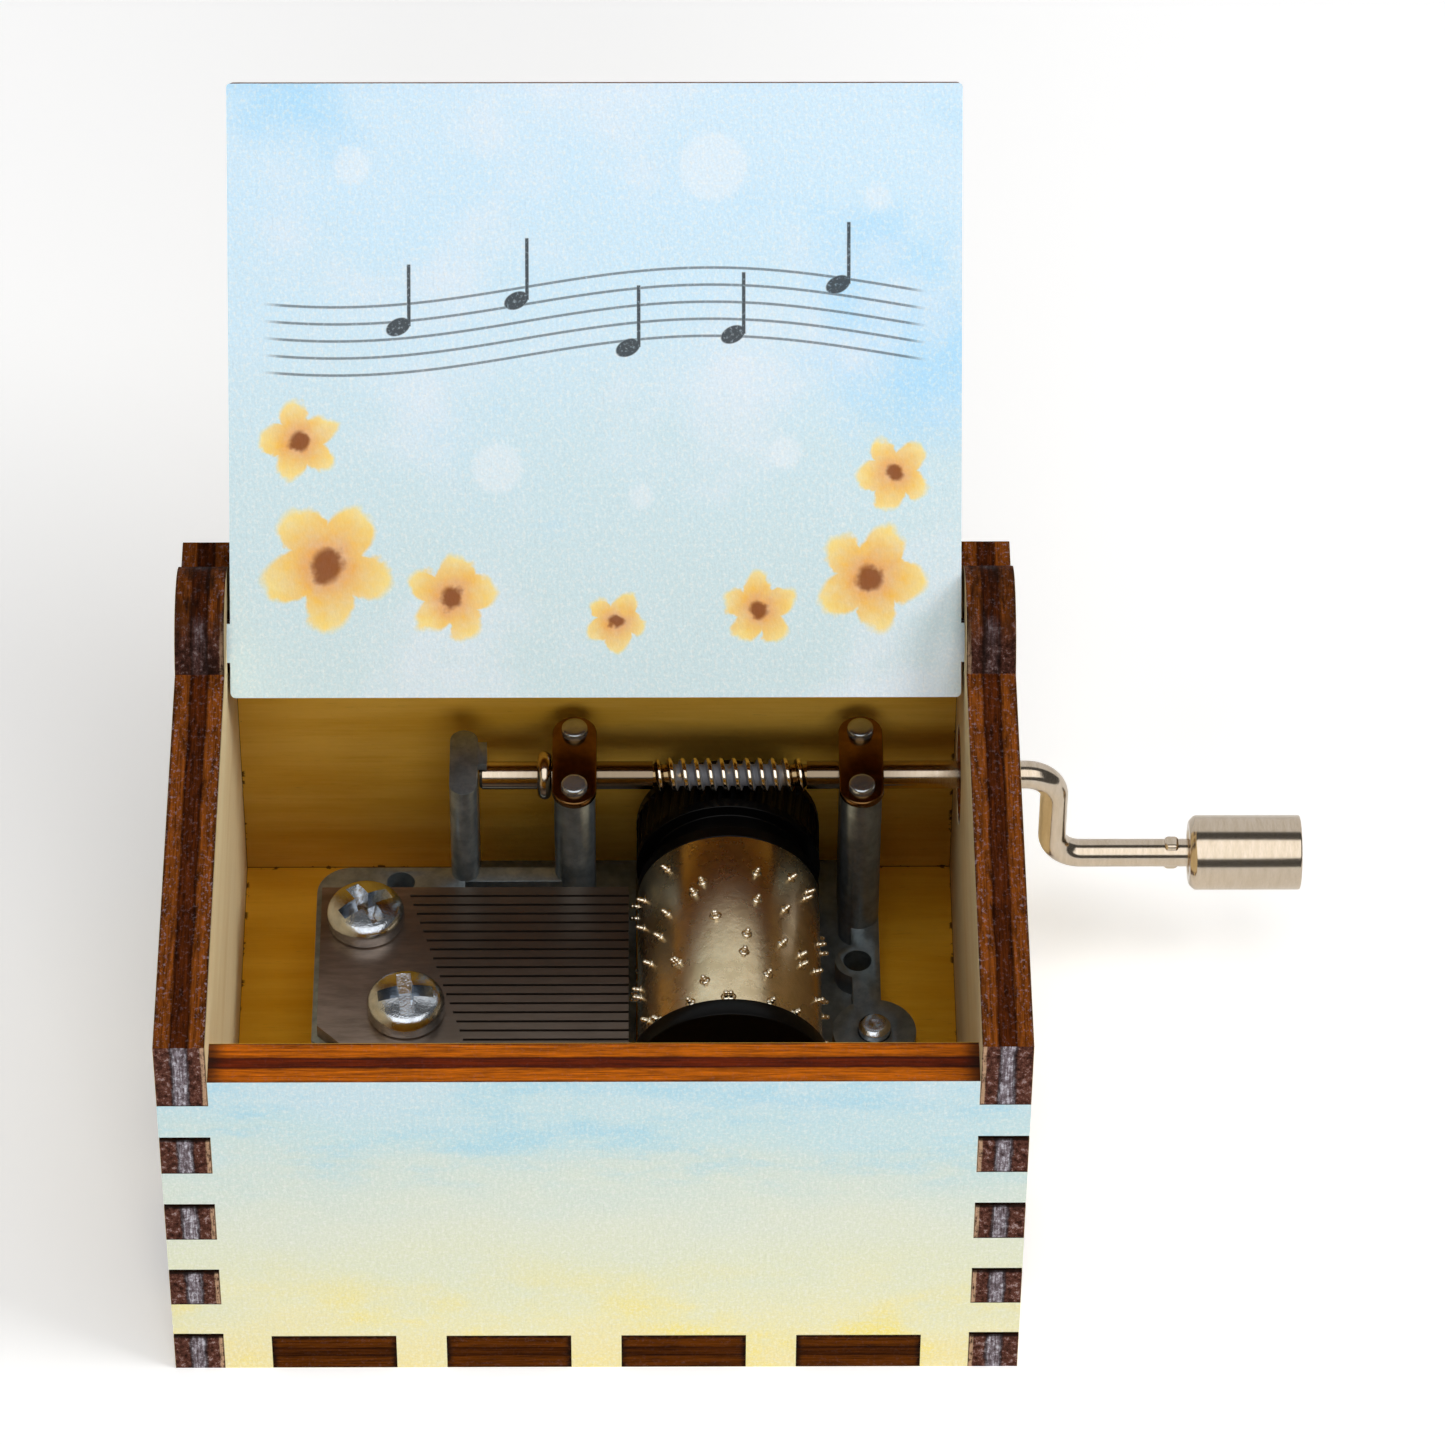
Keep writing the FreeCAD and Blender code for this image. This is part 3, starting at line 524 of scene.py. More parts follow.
def front_wash(finish, x, z):
    """Blue over yellow, with a deeper pool near the top and a warm patch near the foot."""
    drift = finish.noise(x * 0.07, z * 0.12, 2.0, 4.0, 0.6) - 0.5
    wash = finish.ramp(z / FRONT_TOP + drift * 0.42, FRONT_WASH)
    pool = finish.noise(x * 0.09 + 4.0, z * 0.24, 6.0, 5.0, 0.65).ease(0.46, 0.66) * z.ease(18.0, 27.0)
    wash = finish.mix(pool * 0.6, wash, ink(160, 212, 230))
    sun = finish.noise(x * 0.10 + 9.0, z * 0.15, 5.0, 4.0, 0.6).ease(0.44, 0.68) * z.ease(16.0, 1.0)
    wash = finish.mix(sun * 0.85, wash, ink(246, 226, 112))
    return mottle(finish, x, z, wash)


def front_panel_finish():
    finish = Finish("front wash", Roughness=0.7, Specular_IOR_Level=0.15)
    x, y, z = finish.x, finish.y, finish.z
    depth = y + HALF_DEPTH
    # The inner face is painted a deeper golden than plain birch: painted shade of the case's inside.
    inside = birch_face(finish, x, z, ink(224, 172, 66), ink(204, 148, 40))
    edge = cut_edge(finish, depth, z, HALF_WIDTH - HAIR, ink(182, 92, 6), ink(94, 30, 3), 0.12)
    burnt_end = abs(x).ease(WALL_X - 1.6, WALL_X - 0.1) * 0.75
    edge = finish.mix(burnt_end, edge, SOOT_AND_SHADE)
    face = finish.mix(on_outside(depth), inside, front_wash(finish, x, z))
    finish.feed("Base Color", finish.mix(on_face(depth), edge, face))
    finish.bump(finish.noise(x * 3.0, y * 3.0, z * 1.0, 4.0, 0.7), 0.05)
    return finish.material


wear("front_panel", front_panel_finish())
print("front panel finished")

# %% [markdown]
# The lid leans back. Its own flat coordinates are u across and v up the panel, measured from the pivot.
# A blossom is a disc whose rim swings in and out five times round; a note is a tilted ellipse and a stem.
# A few pale discs without a hard rim stand for drops of clear water on the wet wash.

# %% Shapes of the lid's print
def blossom(u, v, place, radius, turn):
    """Share of petal, share of heart and relative distance from the middle of a five-petalled flower."""
    far = distance(u, v, place)
    angle = far.math("ARCTAN2", v - place[1], u - place[0]) + turn
    rim = radius * (0.62 + 0.38 * abs((angle * 2.5).cos()))
    petal = (far / rim).ease(1.05, 0.88)
    heart = far.ease(radius * 0.30, radius * 0.16)
    return petal, heart, far / radius


def note(u, v, place):
    """Share of ink of one note: a tilted head and a stem."""
    across = u - place[0]
    up = v - place[1]
    along = across * 0.9 + up * 0.44
    over = up * 0.9 - across * 0.44
    head = (along * along + over * over / 0.42).ease(1.1, 0.8)
    stem = abs(across - 0.82).ease(0.17, 0.10) * abs(up - 2.4).ease(2.4, 2.3)
    return head.most(stem)


# %% The lid's wash and drawing
LID_RISE = 42.7
LID_WASH = [
    (0.05, ink(204, 225, 229)), (0.30, ink(203, 226, 233)), (0.55, ink(204, 229, 242)),
    (0.75, ink(202, 230, 247)), (0.95, ink(206, 231, 247)),
]
BLOOM = [(0.1, ink(228, 132, 30)), (0.5, ink(246, 186, 52)), (0.95, ink(252, 222, 116))]
# Middle, radius and turn of each blossom
BLOSSOMS = [
    (-20.5, 6.0, 5.2, 0.3), (-11.0, 3.5, 3.6, 1.1), (-22.5, 15.5, 3.2, 0.7), (21.0, 5.0, 4.4, 0.1),
    (12.5, 2.6, 3.0, 0.9), (22.8, 13.0, 3.0, 0.5), (1.5, 1.6, 2.4, 0.2),
]
# Middle of each note's head
NOTES = [(-15.0, 24.2), (-6.0, 26.2), (2.5, 22.6), (10.5, 23.6), (18.5, 27.4)]
# Middle and radius of each drop
DROPS = [
    (9.0, 36.4, 2.7), (-7.5, 13.4, 2.0), (14.5, 14.6, 1.3),
    (-18.5, 36.5, 1.5), (3.5, 11.2, 1.0), (21.5, 34.0, 1.1),
]
STAVE_FOOT = 22.0
STAVE_GAP = 1.3
STAVE_SWING = 1.5


def lid_wash(finish, x, v):
    """Pale sky with deeper clouds at two corners, a white veil and the drops."""
    drift = finish.noise(x * 0.06, v * 0.07, 4.0, 4.0, 0.6) - 0.5
    wash = finish.ramp(v / LID_RISE + drift * 0.5, LID_WASH)
    right_cloud = x.ease(2.0, 26.0) * abs(v - 25.0).ease(14.0, 3.0)
    left_cloud = x.ease(-6.0, -26.0) * v.ease(28.0, 40.0)
    deep = finish.noise(x * 0.06 + 3.0, v * 0.065, 8.0, 5.0, 0.6)
    deep = deep + 0.30 * right_cloud + 0.22 * left_cloud - 0.13
    wash = finish.mix(deep.ease(0.46, 0.72) * 0.85, wash, ink(168, 218, 248))
    veil = finish.noise(x * 0.055 + 7.0, v * 0.06, 1.0, 5.0, 0.6).ease(0.48, 0.70)
    wash = finish.mix(veil * 0.7, wash, ink(226, 235, 244))
    for u0, v0, radius in DROPS:
        drop = distance(x, v, (u0, v0)).ease(radius + 0.3, radius - 0.5)
        wash = finish.mix(drop * 0.4, wash, ink(236, 241, 246))
    return mottle(finish, x, v, wash)


def lid_drawing(finish, x, v, wash):
    """Lays the stave, its notes and the blossoms over the wash."""
    row = (v - STAVE_FOOT - STAVE_SWING * (x * 0.11 + 0.6).sin()) / STAVE_GAP
    stave = row.from_nearest().ease(0.10, 0.05) * abs(row - 2.0).ease(2.35, 2.3) * abs(x).ease(25.5, 23.5)
    drawn = strongest([stave * 0.75] + [note(x, v, place) for place in NOTES])
    rough_ink = finish.noise(x * 4.0, v * 4.0, 2.0).ease(0.2, 0.5)
    wash = finish.mix(drawn * (0.55 + 0.4 * rough_ink), wash, ink(58, 62, 66))
    sway = (finish.noise(x * 0.5, v * 0.5, 1.0) - 0.5) * 1.6
    for u0, v0, radius, turn in BLOSSOMS:
        petal, heart, far = blossom(x + sway, v + sway, (u0, v0), radius, turn)
        pool = finish.noise(x * 0.9, v * 0.9, u0, 4.0, 0.6)
        wash = finish.mix(petal * (0.55 + 0.5 * pool), wash, finish.ramp(far, BLOOM))
        wash = finish.mix(heart * 0.85, wash, ink(122, 66, 26))
    return wash


print("design of", len(BLOSSOMS), "blossoms,", len(NOTES), "notes and", len(DROPS), "drops")

# %% Lid panel
LEAN = math.radians(40)
LID_END = 27.9


def lid_finish():
    finish = Finish("lid wash", Roughness=0.7, Specular_IOR_Level=0.15)
    x = finish.x
    back = finish.y - pivot.y
    up = finish.z - pivot.z
    v = back * math.sin(LEAN) + up * math.cos(LEAN)
    depth = back * math.cos(LEAN) - up * math.sin(LEAN) + PLY / 2
    printed = lid_drawing(finish, x, v, lid_wash(finish, x, v))
    plain = birch_face(finish, x, v, ink(222, 200, 156), ink(204, 176, 124))
    edge = cut_edge(finish, depth, v, LID_END, ink(150, 84, 20), ink(70, 30, 8), 0.4)
    face = finish.mix(on_outside(depth), plain, printed)
    finish.feed("Base Color", finish.mix(on_face(depth), edge, face))
    finish.bump(finish.noise(x * 3.0, finish.y * 1.5, finish.z * 1.5, 4.0, 0.7), 0.05)
    return finish.material


wear("lid_panel", lid_finish())
print("lid finished")

# %% [markdown]
# ## Metals
# The bedplate is cast zinc: grey, slightly grainy. The comb is ground and hardened steel, nearly black.
# The bearing caps are bronzed strip. Wire, collar and knob are nickelled and reflect the warm wood. The
# wire between its bearings and the comb towards its tips are painted darker: painted shade over the same
# metal.

# %% Metal finishes
def metal(name, pale, dark, low, high, grain, bump=0.02, stretch=(1.0, 1.0, 1.0), metallic=1.0, painted_shade=None):
    """A metal whose colour and gloss both wander: low and high are its roughness at its two ends.

    Painted shade, if given, is the share and the colour of a darker layer painted over it."""
    finish = Finish(name, Metallic=metallic)
    x, y, z = finish.x * stretch[0], finish.y * stretch[1], finish.z * stretch[2]
    cloud = finish.noise(x * grain, y * grain, z * grain, 4.0, 0.65)
    fine = finish.noise(x * grain * 6, y * grain * 6, z * grain * 6, 2.0, 0.6)
    colour = finish.shade(finish.mix(cloud.ease(0.3, 0.7), pale, dark), 0.9 + 0.2 * fine)
    if painted_shade:
        share_of, layer = painted_shade
        colour = finish.mix(share_of(finish), colour, layer)
    finish.feed("Base Color", colour)
    finish.feed("Roughness", low + (high - low) * cloud)
    finish.bump(fine + cloud, bump)
    print("metal", name)
    return finish.material


zinc = metal("cast zinc", ink(142, 150, 153), ink(114, 121, 124), 0.25, 0.36, 0.7, 0.02, metallic=0.8)
bronzed = metal("bronzed strip", ink(134, 98, 58), ink(104, 74, 42), 0.18, 0.26, 0.6, 0.006)
sleeve_metal = metal("sleeve", ink(240, 219, 182), ink(220, 198, 158), 0.23, 0.31, 0.4, 0.01)
pin_metal = metal("pin steel", ink(252, 244, 226), ink(236, 222, 194), 0.16, 0.24, 1.5, 0.004)
screw_metal = metal("plated screw", ink(216, 221, 226), ink(190, 196, 204), 0.14, 0.24, 0.9, 0.02)
rivet_metal = metal("rivet steel", ink(184, 189, 192), ink(156, 162, 166), 0.18, 0.26, 0.6, 0.006,
                    metallic=0.9)
weight_metal = metal("weight metal", ink(120, 120, 124), ink(92, 92, 96), 0.4, 0.5, 0.8, 0.02)

# %% Metals under painted shade
comb_low, comb_high = span("comb")
bearings = [sum(span(cap), Vector()).x / 2 for cap in ("left_bearing_cap", "right_bearing_cap")]
BETWEEN = (bearings[1] - bearings[0]) / 2
WIRE_LOOK = (ink(208, 193, 174), ink(199, 183, 161), 0.13, 0.18, 0.4, 0.003, (6.0, 1.0, 1.0))


def comb_painted_shade(finish):
    """Painted shade: more towards the tips of the teeth."""
    return (finish.x - comb_low.x).ease(4.0, 11.0) * 0.75


def wire_painted_shade(finish):
    """Painted shade between the bearings, fading out beyond them."""
    return abs(finish.x - sum(bearings) / 2).ease(BETWEEN + 8.0, BETWEEN - 0.5) * 0.85


comb_steel = metal("comb steel", ink(146, 129, 116), ink(121, 106, 94), 0.28, 0.36, 0.9, 0.006,
                   (0.3, 1.5, 1.0), metallic=0.85, painted_shade=(comb_painted_shade, ink(92, 82, 73)))
nickel = metal("nickelled knob", *WIRE_LOOK)
# The wire is painted darker between its bearings: painted shade of the case's inside.
shaded_wire = metal("oiled wire", *WIRE_LOOK, painted_shade=(wire_painted_shade, ink(112, 96, 76)))

# %% [markdown]
# The wheel and the flange at the ends of the cylinder are black moulded plastic. Pure black would look
# like a hole, so a fine noise makes its colour and gloss wander a little.

# %% Black moulded plastic
def black_plastic_finish():
    finish = Finish("black plastic", Specular_IOR_Level=0.14)
    fine = finish.noise(finish.x * 3.0, finish.y * 3.0, finish.z * 3.0, 3.0, 0.6)
    finish.feed("Base Color", finish.mix(fine, ink(2, 2, 2), ink(7, 6, 6)))
    finish.feed("Roughness", 0.26 + 0.12 * fine)
    finish.bump(fine, 0.01)
    return finish.material


black_plastic = black_plastic_finish()
print("plastic", black_plastic.name)

# %% [markdown]
# ## Softening machined edges
# The solids have knife edges. Cast and stamped metal has not: a tiny round along each edge catches the
# light and tells the eye how big the thing is. A copy of the node is merged, its flat faces joined, and
# its sharp edges bevelled; the copy then stands for the node.

# %% Helpers that every piece needs
scene = bpy.context.scene
SAME_POINT = 1e-6


def put_in_scene(name, data):
    """A new object for a mesh, a lamp or a camera."""
    holder = bpy.data.objects.new(name, data)
    scene.collection.objects.link(holder)
    return holder


def keep_piece(mesh, name, body, slot, material, *nodes):
    """Makes an object of a finished mesh, gives it its material, sets it on its body and hides the nodes it
    stands for.
    """
    piece = put_in_scene(name, mesh)
    mesh.materials.clear()
    mesh.materials.append(material)
    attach(piece, body)
    if nodes:
        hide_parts(*nodes)
    return piece


def applied(piece):
    """The mesh of an object with its modifiers worked in; the object itself goes."""
    bpy.context.view_layer.update()
    graph = bpy.context.evaluated_depsgraph_get()
    mesh = bpy.data.meshes.new_from_object(piece.evaluated_get(graph))
    bpy.data.objects.remove(piece)
    return mesh


def merged(node):
    """A copy of a node's mesh with its loose triangles joined, ready for work."""
    work = bmesh.new()
    work.from_mesh(frame["nodes"][node].data)
    bmesh.ops.remove_doubles(work, verts=work.verts, dist=SAME_POINT)
    return work


def to_mesh(work, name):
    """Ends the work on a mesh and returns it."""
    mesh = bpy.data.meshes.new(name)
    work.to_mesh(mesh)
    work.free()
    return mesh


def smooth(mesh, corner=38):
    """Smooth shading that breaks at edges sharper than the corner, in degrees."""
    mesh.shade_smooth()
    mesh.set_sharp_from_angle(angle=math.radians(corner))
    return mesh


# %% Rounded copies of cast, stamped and moulded nodes
FLAT = math.radians(0.8)
BEVELLED = math.radians(28)


def softened(node, width, name, body, slot, material, steps=2):
    work = merged(node)
    bmesh.ops.dissolve_limit(work, angle_limit=FLAT, verts=work.verts, edges=work.edges)
    rough = put_in_scene(name + ".rough", to_mesh(work, name))
    bevel = rough.modifiers.new("round", "BEVEL")
    bevel.width = width * MM
    bevel.segments = steps
    bevel.limit_method = "ANGLE"
    bevel.angle_limit = BEVELLED
    bevel.use_clamp_overlap = True
    mesh = smooth(applied(rough))
    print(name, "triangles", sum(len(p.vertices) - 2 for p in mesh.polygons))
    return keep_piece(mesh, name, body, slot, material, node)


softened("bedplate", 0.22, "cast_bedplate", "case", "zinc_casting", zinc)
softened("left_bearing_cap", 0.14, "left_cap_strip", "case", "bronzed_steel", bronzed)
softened("right_bearing_cap", 0.14, "right_cap_strip", "case", "bronzed_steel", bronzed)
softened("worm_wheel", 0.04, "black_wheel", "cylinder", "black_plastic", black_plastic, 1)
softened("front_end_cap", 0.12, "black_flange", "cylinder", "black_plastic", black_plastic)
softened("crank_knob", 0.14, "turned_knob", "knob", "nickelled_wire", nickel, 3)
wear("comb", comb_steel)
wear("comb_weights", weight_metal)
wear("cylinder_axle", pin_metal)

# %% [markdown]
# ## Turned pieces
# Screw heads, rivet heads and the cylinder are turned: one outline swept round an axis. A lathe function
# takes the outline as radius and height, and closes both ends on the axis. Where an outline is part of a
# circle, another function works out its points.

# %% A lathe
def arc(centre, size, angles):
    """Points of a circle's edge as (radius, height); the angles are in degrees, 0 outwards and 90 upwards."""
    points = []
    for angle in angles:
        turned = math.radians(angle)
        points.append((centre[0] + size * math.cos(turned), centre[1] + size * math.sin(turned)))
    return points


def lathe(outline, centre, axis, steps=64, ring_shaped=False):
    """A smooth solid of revolution; outline lists (radius, height) in millimetres from one end to the other.

    A ring-shaped piece has a hole: its outline runs on from the last point to the first."""
    work = bmesh.new()
    turn = Vector((0, 0, 1)).rotation_difference(Vector(axis)).to_matrix()
    rings = []
    for radius, height in outline:
        ring = []
        for k in range(steps if radius > SAME_POINT else 1):
            angle = 2 * math.pi * k / steps
            at = Vector((radius * math.cos(angle), radius * math.sin(angle), height))
            ring.append(work.verts.new((Vector(centre) + turn @ at) * MM))
        rings.append(ring)
    if ring_shaped:
        rings.append(rings[0])
    for low, high in zip(rings, rings[1:]):
        for k in range(steps):
            low_pair = [low[k % len(low)], low[(k + 1) % len(low)]]
            high_pair = [high[(k + 1) % len(high)], high[k % len(high)]]
            corners = list(dict.fromkeys(low_pair + high_pair))
            if len(corners) > 2:
                work.faces.new(corners)
    bmesh.ops.recalc_face_normals(work, faces=work.faces)
    return smooth(to_mesh(work, "turned"))


# %% [markdown]
# The cylinder is a short tube of nickelled brass. It is turned as a ring, so it stays hollow like the
# real one, and a small chamfer at each end catches a line of light.

# %% Cylinder sleeve
SLEEVE_WALL = 0.45
CHAMFER = 0.08
sleeve_low, sleeve_high = span("cylinder_sleeve")
sleeve_radius = (sleeve_high.x - sleeve_low.x) / 2
sleeve_length = sleeve_high.y - sleeve_low.y
sleeve_mesh = lathe(
    [(sleeve_radius - SLEEVE_WALL, 0), (sleeve_radius - CHAMFER, 0), (sleeve_radius, CHAMFER),
     (sleeve_radius, sleeve_length - CHAMFER), (sleeve_radius - CHAMFER, sleeve_length),
     (sleeve_radius - SLEEVE_WALL, sleeve_length)],
    (roller.x, sleeve_low.y, roller.z), (0, 1, 0), 128, ring_shaped=True)
keep_piece(sleeve_mesh, "pinned_sleeve", "cylinder", "nickelled_brass", sleeve_metal, "cylinder_sleeve")
print("sleeve radius", round(sleeve_radius, 2), "length", round(sleeve_length, 2))

# %% [markdown]
# A small ring on the shaft keeps it from sliding out of its bearings. Its rim is half a circle and its
# bore is the wire's own radius.

# %% Shaft collar
BORE_EASE = 0.2
WIRE_RADIUS = min(math.hypot(p.y - shaft.y, p.z - shaft.z) for p in points_of("shaft_collar"))
collar_low, collar_high = span("shaft_collar")
collar_length = collar_high.x - collar_low.x
collar_radius = (collar_high.z - collar_low.z) / 2
half = collar_length / 2
collar_bore = [(WIRE_RADIUS, BORE_EASE), (WIRE_RADIUS, collar_length - BORE_EASE)]
collar_rim = arc((collar_radius - half, half), half, range(90, -91, -15))
collar_mesh = lathe(collar_bore + collar_rim, (collar_low.x, shaft.y, shaft.z), (1, 0, 0), 48,
                    ring_shaped=True)
keep_piece(collar_mesh, "rolled_collar", "crank", "nickelled_wire", nickel, "shaft_collar")
print("collar radius", round(collar_radius, 2), "length", round(collar_length, 2))

# %% [markdown]
# ## Pins
# The tune is a few dozen steel pins driven through the sleeve. They repeat, so a small tree of nodes
# puts one rounded pin on each place. The places are the middles of the frame's own plain pins. Driving a
# pin raises a small burr round it, which is a flat cone at its foot.

# %% Islands of a mesh
def islands(node):
    """The separate lumps of a node's mesh, each as a list of points in millimetres."""
    work = merged(node)
    left = set(work.verts)
    lumps = []
    while left:
        stack = [left.pop()]
        lump = []
        while stack:
            vert = stack.pop()
            lump.append(vert.co / MM)
            for edge in vert.link_edges:
                other = edge.other_vert(vert)
                if other in left:
                    left.remove(other)
                    stack.append(other)
        lumps.append(lump)
    work.free()
    return lumps


pin_lumps = islands("cylinder_pins")
print("pins", len(pin_lumps))

# %% A tree of nodes with named inputs
SOCKETS = {
    float: "NodeSocketFloat", tuple: "NodeSocketVector",
    bpy.types.Material: "NodeSocketMaterial", bpy.types.Object: "NodeSocketObject",
}


def grown(mesh, name, shape, values):
    """Builds a tree round a shape, runs it on a mesh and returns the plain mesh that it makes.

    The values are the tree's named inputs. The shape is a function that adds the nodes between the
    inputs and the closing nodes, which make instances real and set the material."""
    tree = bpy.data.node_groups.new(name, "GeometryNodeTree")
    sides = tree.interface
    sides.new_socket("Geometry", in_out="INPUT", socket_type="NodeSocketGeometry")
    inputs = {label: sides.new_socket(label, in_out="INPUT", socket_type=SOCKETS[type(value)])
              for label, value in values.items()}
    sides.new_socket("Geometry", in_out="OUTPUT", socket_type="NodeSocketGeometry")
    net = Net(tree)
    given = net.outputs(net.add("NodeGroupInput"))
    real = net.add("GeometryNodeRealizeInstances", None, {0: shape(net, given)})
    named = net.add("GeometryNodeSetMaterial", None, {0: real, "Material": given["Material"]})
    tree.links.new(named.socket, tree.nodes.new("NodeGroupOutput").inputs[0])
    carrier = put_in_scene(name, mesh)
    grow = carrier.modifiers.new("grow", "NODES")
    grow.node_group = tree
    for label, value in values.items():
        grow[inputs[label].identifier] = value
    return applied(carrier)


def marked_points(name, places, mark, kind, values):
    """A mesh of loose points, each with a value that a tree can read by its name."""
    points = bpy.data.meshes.new(name)
    points.from_pydata([Vector(place) * MM for place in places], [], [])
    stored = points.attributes.new(mark, kind, "POINT")
    stored.data.foreach_set("vector" if kind == "FLOAT_VECTOR" else "value", values)
    return points


# %% A tree that sets one pin on each point
PIN_SIDES = 10


def pins_on_points(net, given):
    shank = net.add("GeometryNodeMeshCylinder", None, {
        "Vertices": PIN_SIDES, "Side Segments": 1, "Radius": given["Pin radius"],
        "Depth": given["Pin length"]})
    tip = net.add("GeometryNodeMeshUVSphere", None, {
        "Segments": PIN_SIDES, "Rings": PIN_SIDES // 2, "Radius": given["Pin radius"]})
    raised = net.add("GeometryNodeTransform", None, {
        0: tip, "Translation": net.vector(0.0, 0.0, given["Pin length"] * 0.5)})
    burr = net.add("GeometryNodeMeshCone", None, {
        "Vertices": PIN_SIDES, "Radius Top": given["Pin radius"], "Radius Bottom": given["Burr radius"],
        "Depth": given["Burr height"]})
    lowered = net.add("GeometryNodeTransform", None, {
        0: burr, "Translation": net.vector(0.0, 0.0, given["Burr place"])})
    whole = net.add("GeometryNodeJoinGeometry")
    for part in (shank, raised, lowered):
        net.tree.links.new(part.socket, whole.socket.node.inputs[0])
    rounded = net.add("GeometryNodeSetShadeSmooth", None, {0: whole})
    normal = net.add("GeometryNodeInputNamedAttribute", {"data_type": "FLOAT_VECTOR"}, {"Name": "out"})
    turn = net.add("FunctionNodeAlignRotationToVector", {"axis": "Z"}, {"Vector": normal})
    return net.add("GeometryNodeInstanceOnPoints", None, {
        "Points": given["Geometry"], "Instance": rounded, "Rotation": turn})


# %% Pins on the sleeve
PIN_RADIUS = 0.22
PIN_ROOT = 0.25
BURR_RADIUS = 0.48
BURR_HEIGHT = 0.12
BURR_SUNK = 0.03


def from_axis(point):
    """The part of a place that points away from the cylinder's axis."""
    return Vector((point.x - roller.x, 0, point.z - roller.z))


pins = [sum(lump, Vector()) / len(lump) for lump in pin_lumps]
outward = [from_axis(pin).normalized() for pin in pins]
pin_tip = max(from_axis(point).length for lump in pin_lumps for point in lump)
pin_length = pin_tip - sleeve_radius + PIN_ROOT - PIN_RADIUS
centre_at = pin_tip - PIN_RADIUS - pin_length / 2
seats = marked_points(
    "pin places", [Vector((roller.x, pin.y, roller.z)) + way * centre_at for pin, way in zip(pins, outward)],
    "out", "FLOAT_VECTOR", [part for way in outward for part in way])
pin_mesh = grown(seats, "pins on a sleeve", pins_on_points, {
    "Pin radius": PIN_RADIUS * MM, "Pin length": pin_length * MM, "Burr radius": BURR_RADIUS * MM,
    "Burr height": BURR_HEIGHT * MM, "Burr place": (sleeve_radius - BURR_SUNK - centre_at) * MM,
    "Material": pin_metal})
keep_piece(pin_mesh, "steel_pins", "cylinder", "pin_steel", pin_metal, "cylinder_pins")
print("pin mesh faces", len(pin_mesh.polygons), "tip radius", round(pin_tip, 3))

# %% [markdown]
# ## The crank
# One length of wire is the journal, the worm's blank, the arm and the handle. A path with sharp corners
# is drawn first; the tree rounds the corners with the bend radius of the frame and sweeps a circle along
# it. Sweeping keeps the wire's section true round both bends.

# %% A tree that bends a wire along a path
def bent_along(net, given):
    path = net.add("GeometryNodeMeshToCurve", None, {0: given["Geometry"]})
    bent = net.add("GeometryNodeFilletCurve", {"mode": "POLY"}, {
        "Curve": path, "Count": 16, "Radius": given["Bend radius"]})
    ring = net.add("GeometryNodeCurvePrimitiveCircle", None, {
        "Resolution": 40, "Radius": given["Wire radius"]})
    swept = net.add("GeometryNodeCurveToMesh", None, {
        "Curve": bent, "Profile Curve": ring, "Fill Caps": True})
    return net.add("GeometryNodeSetShadeSmooth", None, {0: swept})


# %% The bent wire
BEND = 2.3
RIVETED = 0.7
WORM_LENGTH = 12.0
WORM_LEFT = 5.9
shaft_low, shaft_high = span("crank_shaft")
worm_start = roller.x - WORM_LEFT
worm_end = worm_start + WORM_LENGTH
wire_end = shaft_high.x - RIVETED
corners = [(worm_end, shaft.y, shaft.z), (shaft.x, shaft.y, shaft.z),
           (shaft.x, shaft.y, handle.z), (wire_end, shaft.y, handle.z)]
bent_path = bpy.data.meshes.new("path")
bent_path.from_pydata([Vector(corner) * MM for corner in corners], [(0, 1), (1, 2), (2, 3)], [])
arm_mesh = grown(bent_path, "bent wire", bent_along, {
    "Wire radius": WIRE_RADIUS * MM, "Bend radius": BEND * MM, "Material": shaded_wire})
print("arm faces", len(arm_mesh.polygons), "wire radius", round(WIRE_RADIUS, 3))

# %% [markdown]
# The worm is rolled into the same wire. Its ridge climbs one pitch per turn. As a rule that is simple: at
# every point of a tube, ask how far it is along the axis from the nearest turn of the ridge, and set the
# radius from that. A grid of points wrapped round the axis follows the rule exactly.

# %% A tree that turns a grid into a worm
PITCH = 1.0
WORM_CORE = 0.85
WORM_TOP = 1.35
HALF_RIDGE = 0.21
FLANK = math.tan(math.radians(20))
STEPS_ALONG = 24
STEPS_ROUND = 48


